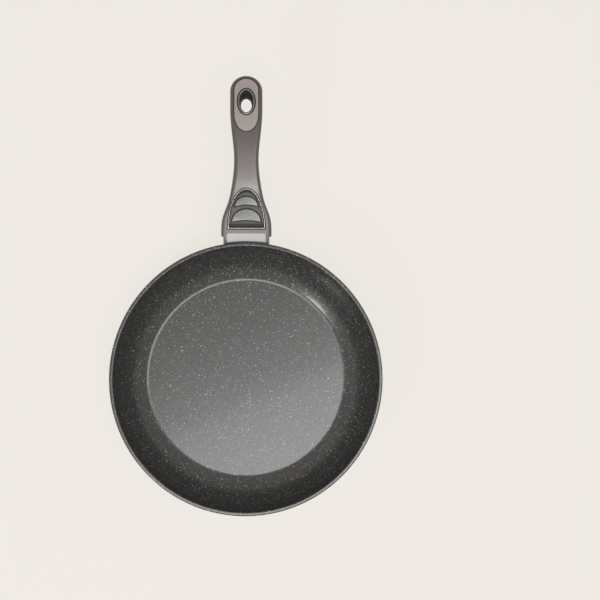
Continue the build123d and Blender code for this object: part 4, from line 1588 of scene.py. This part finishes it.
@dataclass(frozen=True)
class PadShape:
    """A thumb pad's crescent: a half ellipse over a shallow arc, under a slanted top."""

    name: str
    centre: float
    half_width: float
    height: float
    sag: float
    back: float
    front: float

    def outline(self, outwards: float) -> list[Flat]:
        """Draws the crescent.

        Args:
            outwards: How far its outline is moved outwards.

        Returns:
            The outline's points, in x and u.
        """
        half = self.half_width + outwards
        low = self.centre - outwards
        top = oval((0, low), (half, self.height + 2 * outwards), 0, 180, 40)
        radius = (half**2 + self.sag**2) / (2 * self.sag)
        reach = math.degrees(math.asin(half / radius))
        under = arc((0, low + self.sag - radius), radius, 90 + reach, 90 - reach, 20)
        return [*top, *under[1:-1]]


@dataclass
class ThumbSlide(Assembly):
    """The release slide: a textured button with two crescent pads, in a bright arched bezel."""

    window_base: float = 22.2
    window_half: float = 18.3
    window_height: float = 40.0
    bezel_width: float = 1.6
    bezel_low: float = 11.65
    bezel_high: float = 13.9
    bezel_groove: Flat = (0.95, 12.1)
    button_low: float = 9.8
    button_high: float = 13.2
    button_front: float = 27.0
    button_setback: float = 3.8
    plate_high: float = 11.4
    overlap: float = 0.8
    gap: float = 0.2
    pad_seat: float = 12.0
    pad_gap: float = 1.0
    pad_rim: float = 0.6
    pad_rim_proud: float = 0.3
    spring_room: Triple = (1.6, 45.6, 80.0)
    spring_top: float = 11.0
    bezel_shoulder: float = 0.3
    bezel_inner_drop: float = 0.4
    bead_round: tuple[Flat, ...] = ((0.03, 0.2), (0.15, 0.05))
    edge_round: float = 0.2
    rim_round: float = 0.28
    pad_round: float = 0.55
    pad_clearance: float = 0.05
    pads: tuple[PadShape, ...] = (
        PadShape("lower_crescent", 28.6, 14.8, 13.2, 1.8, 13.5, 15.4),
        PadShape("upper_crescent", 44.6, 11.6, 10.2, 1.8, 13.5, 15.0),
    )

    def build(self) -> None:
        """Builds the bezel, the button and its pads."""
        self.build_bezel()
        self.build_button()
        for shape, node in zip(self.pads, ("lower_pad", "upper_pad")):
            self.build_pad(shape, node)

    def bezel_ring(self, name: str, section: Sequence[Flat]) -> Piece:
        """Bridges arches into a ring.

        Args:
            name: The ring's name.
            section: Its section, as distances in from the bezel's outside, and heights.

        Returns:
            The ring.
        """
        rails = []
        for inset, height in section:
            out = self.bezel_width - inset
            outline = arch(
                self.window_base - out, self.window_half + out, self.window_height + 2 * out
            )
            rails.append([BRACKET.point(x, u, height) for x, u in outline])
        return loft(name, rails, ring=True, wrap=True)

    def build_bezel(self) -> None:
        """Builds the bezel: a bright bead inside a groove, whose cut faces are painted near black
        as shade.
        """
        low, high = self.bezel_low, self.bezel_high
        start, floor = self.bezel_groove
        end = self.bezel_width
        shoulder = high - self.bezel_shoulder
        bezel = self.bezel_ring(
            "arch_bezel",
            (
                (0, low), (0, shoulder), (start, shoulder),
                *((start + inwards, high - drop) for inwards, drop in self.bead_round),
                (start + (end - start) / 2, high),
                *((end - inwards, high - drop) for inwards, drop in reversed(self.bead_round)),
                (end, high - self.bezel_inner_drop), (end, low),
            ),
        )
        dress(bezel, self.finishes.bright)
        groove = self.bezel_ring(
            "bezel_groove", ((-0.5, floor), (-0.5, high + 1), (start, high + 1), (start, floor))
        )
        # The groove's faces are painted near black as shade.
        carve(bezel, dress(groove, self.finishes.dark))
        shade(bezel, 50)
        place(bezel, Body.HANDLE, "bright_trim", "window_bezel")

    def trimmed_arch(self, half: float, height: float, front: float) -> list[Flat]:
        """Draws the button's arch, cut square at its front.

        Args:
            half: The arch's half width.
            height: How far it reaches along u.
            front: Where it is cut.

        Returns:
            Its points, in x and u.
        """
        base = self.window_base - self.button_setback
        turn = math.degrees(math.asin((front - base) / height))
        return oval((0, base), (half, height), turn, 180 - turn, 56)

    def build_button(self) -> None:
        """Builds the button over its wider plate, with seats for the pads; the seats' and the
        spring room's cut faces are painted near black as shade.
        """
        half = self.window_half - self.gap
        height = self.window_height - self.gap
        button = BRACKET.plate(
            "thumb_button",
            self.trimmed_arch(half, height, self.button_front),
            self.button_low,
            self.button_high,
        )
        dress(button, self.finishes.button)
        high = self.button_high
        for shape in self.pads:
            rim = shape.outline(self.pad_gap + self.pad_rim)
            rim_plate = BRACKET.plate("pad_rim", rim, self.pad_seat, high + self.pad_rim_proud)
            soften(rim_plate, self.rim_round, angle=40)
            carve(button, dress(rim_plate, self.finishes.button), Carve.TOGETHER)
        # The seats' faces, seen in the gap round each pad, are painted near black as shade.
        for shape in self.pads:
            seat = BRACKET.plate("pad_seat", shape.outline(self.pad_gap), self.pad_seat, 2 * high)
            carve(button, dress(seat, self.finishes.dark))
        soften(button, self.edge_round, angle=40, segments=2)
        more = self.overlap
        outline = self.trimmed_arch(half + more, height + more, self.button_front - more)
        plate = BRACKET.plate("slide_plate", outline, self.button_low, self.plate_high)
        soften(plate, self.edge_round, angle=40, segments=2)
        carve(button, dress(plate, self.finishes.button), Carve.TOGETHER)
        # The spring room's faces are painted near black as shade too.
        width, start, end = self.spring_room
        room = [(-width, start), (width, start), (width, end), (-width, end)]
        cutter = BRACKET.plate("spring_room", room, 0, self.spring_top)
        carve(button, dress(cutter, self.finishes.dark))
        shade(button, 30)
        place(button, Body.SLIDE, "button_plastic", "slide_button")

    def build_pad(self, shape: PadShape, node: str) -> None:
        """Builds one pad: its crescent, cut by the slanted top, with its edges rounded.

        Args:
            shape: The pad's sizes.
            node: The part's node that it stands for.
        """
        seat = self.pad_seat + self.pad_clearance
        pad = BRACKET.plate(shape.name, shape.outline(0), seat, shape.front + 2)
        tip = shape.centre + shape.height
        front = BRACKET.point(0, shape.centre, shape.front)
        slant = BRACKET.point(0, tip, shape.back) - front
        normal = Vector((1, 0, 0)).cross(slant).normalized()
        with editing(pad):
            bpy.ops.mesh.bisect(
                plane_co=front, plane_no=normal, use_fill=True, clear_outer=True, threshold=1e-7
            )
            face_outwards()
        soften(pad, self.pad_round, angle=40, segments=4)
        dress(pad, self.finishes.pad)
        shade(pad, 30)
        place(pad, Body.SLIDE, "pad_trim", node)


# Stage


@dataclass(frozen=True)
class Lamp:
    """A soft lamp: a glowing rectangle."""

    name: str
    spot: Triple
    width: float
    depth: float
    power: float
    aim: Triple = (0.0, 0.03, 0.0)

    def hang(self, scene: bpy.types.Scene) -> None:
        """Hangs the lamp and turns it to what it lights.

        Args:
            scene: The scene.
        """
        data = bpy.data.lights.new(self.name, "AREA")
        data.shape = "RECTANGLE"
        data.size = self.width
        data.size_y = self.depth
        data.energy = self.power
        lamp = bpy.data.objects.new(self.name, data)
        lamp.location = self.spot
        aim = Vector(self.aim) - Vector(self.spot)
        lamp.rotation_euler = aim.to_track_quat("-Z", "Y").to_euler()
        scene.collection.objects.link(lamp)


@dataclass
class Studio:
    """A pale seamless floor under broad, soft lamps."""

    pale: Colour = (0.871, 0.831, 0.783)
    floor_size: float = 14.0
    floor_drop: float = 0.0004
    lamps: tuple[Lamp, ...] = (
        Lamp("overhead_lamp", (0.19, -0.42, 2.0), 1.6, 0.7, 22.5),
        Lamp("front_lamp", (-1.1, -1.2, 1.1), 0.35, 0.35, 8.0),
    )
    sky: float = 0.36
    glow: float = 0.9
    sky_colour: Colour = (1.0, 0.99, 0.98)
    eye: Triple = (0.0, 0.035, 1.25)
    target: Triple = (0.05489, 0.08044, 0.05)
    roll: float = math.radians(-0.133)
    lens: float = 70.31
    sensor: float = 36.0
    farthest: float = 100.0

    def build(self) -> None:
        """Sets up the floor, the sky, the lamps and the camera."""
        scene = bpy.context.scene
        scene.view_settings.view_transform = "Standard"
        self.build_floor()
        self.build_sky(scene)
        for lamp in self.lamps:
            lamp.hang(scene)
        self.build_camera(scene)

    @staticmethod
    def seen(tree: bpy.types.NodeTree) -> Socket:
        """A value that is 1 for rays that see the backdrop itself, in a mirror or through glass.

        Args:
            tree: The node tree that it is for.

        Returns:
            The value.
        """
        path = tree.nodes.new("ShaderNodeLightPath")
        either = path.outputs["Is Camera Ray"]
        for name in ("Is Glossy Ray", "Is Transmission Ray"):
            node = tree.nodes.new("ShaderNodeMath")
            node.operation = "MAXIMUM"
            tree.links.new(either, node.inputs[0])
            tree.links.new(path.outputs[name], node.inputs[1])
            either = node.outputs["Value"]
        return either

    def build_floor(self) -> None:
        """Lays the floor, whose colour is mostly its own, so that only a faint shadow shows."""
        bpy.ops.object.select_all(action="DESELECT")
        bpy.ops.mesh.primitive_plane_add(size=self.floor_size, location=(0, 0, -self.floor_drop))
        floor = bpy.context.active_object
        floor.name = floor.data.name = "studio_floor"
        bpy.ops.object.transform_apply(location=True, rotation=True, scale=True)
        recipe = Recipe("studio_floor")
        recipe.set(Base_Color=(*self.pale, 1), Roughness=1.0, Specular_IOR_Level=0.0)
        glow = recipe.add("ShaderNodeEmission", {"Color": (*self.pale, 1), "Strength": 1.0})
        share = recipe.sum("MULTIPLY", self.seen(recipe.tree), self.glow)
        mixed = recipe.add(
            "ShaderNodeMixShader",
            {0: share, 1: recipe.shader.outputs["BSDF"], 2: glow.outputs["Emission"]},
        )
        output = recipe.tree.nodes["Material Output"]
        recipe.feed(output.inputs["Surface"], mixed.outputs["Shader"])
        dress(floor, recipe.material)

    def build_sky(self, scene: bpy.types.Scene) -> None:
        """Gives the world a soft even light, and the backdrop's colour where it is seen.

        Args:
            scene: The scene.
        """
        world = bpy.data.worlds.new("studio_sky")
        world.use_nodes = True
        scene.world = world
        tree = world.node_tree
        light = tree.nodes["Background"]
        light.inputs["Color"].default_value = (*self.sky_colour, 1)
        light.inputs["Strength"].default_value = self.sky
        backdrop = tree.nodes.new("ShaderNodeBackground")
        backdrop.inputs["Color"].default_value = (*self.pale, 1)
        mixed = tree.nodes.new("ShaderNodeMixShader")
        tree.links.new(self.seen(tree), mixed.inputs[0])
        tree.links.new(light.outputs["Background"], mixed.inputs[1])
        tree.links.new(backdrop.outputs["Background"], mixed.inputs[2])
        tree.links.new(mixed.outputs["Shader"], tree.nodes["World Output"].inputs["Surface"])

    def build_camera(self, scene: bpy.types.Scene) -> None:
        """Places the camera above the pan, looking down at it and at the room beside it.

        Args:
            scene: The scene.
        """
        data = bpy.data.cameras.new("camera")
        data.lens = self.lens
        data.sensor_width = self.sensor
        data.clip_end = self.farthest
        camera = bpy.data.objects.new("camera", data)
        camera.location = self.eye
        back = (Vector(self.eye) - Vector(self.target)).normalized()
        upright = Vector((-math.sin(self.roll), math.cos(self.roll), 0))
        right = upright.cross(back).normalized()
        turned = Matrix((right, back.cross(right), back)).transposed()
        camera.rotation_euler = turned.to_euler()
        scene.collection.objects.link(camera)
        scene.camera = camera


def main() -> None:
    """Builds the pan, its handle and the studio, in order."""
    logging.basicConfig(level=logging.INFO, format="%(message)s")
    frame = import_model()
    finishes = Finishes()
    for material, names in (
        (finishes.disc, ("induction_disc",)),
        (finishes.bracket, ("bracket_sleeve",)),
        (finishes.inner, ("tongue_bracket", "receiver_channel", "release_fork")),
        (
            finishes.fastener,
            (
                "wall_studs", "lock_washers", "stud_nuts", "receiver_screw", "catch_rivets",
                "fork_screws",
            ),
        ),
        (finishes.spring, ("catch_leaf", "return_spring")),
    ):
        for name in names:
            dress(frame["nodes"][name], material)
            log.info("%s: the part's own solid, in %s", name, material.name)
    for assembly in (Pan, BaseStuds, Grip, TipTrim, ThumbSlide):
        assembly(finishes).build()
    Studio().build()


if __name__ == "__main__":
    main()
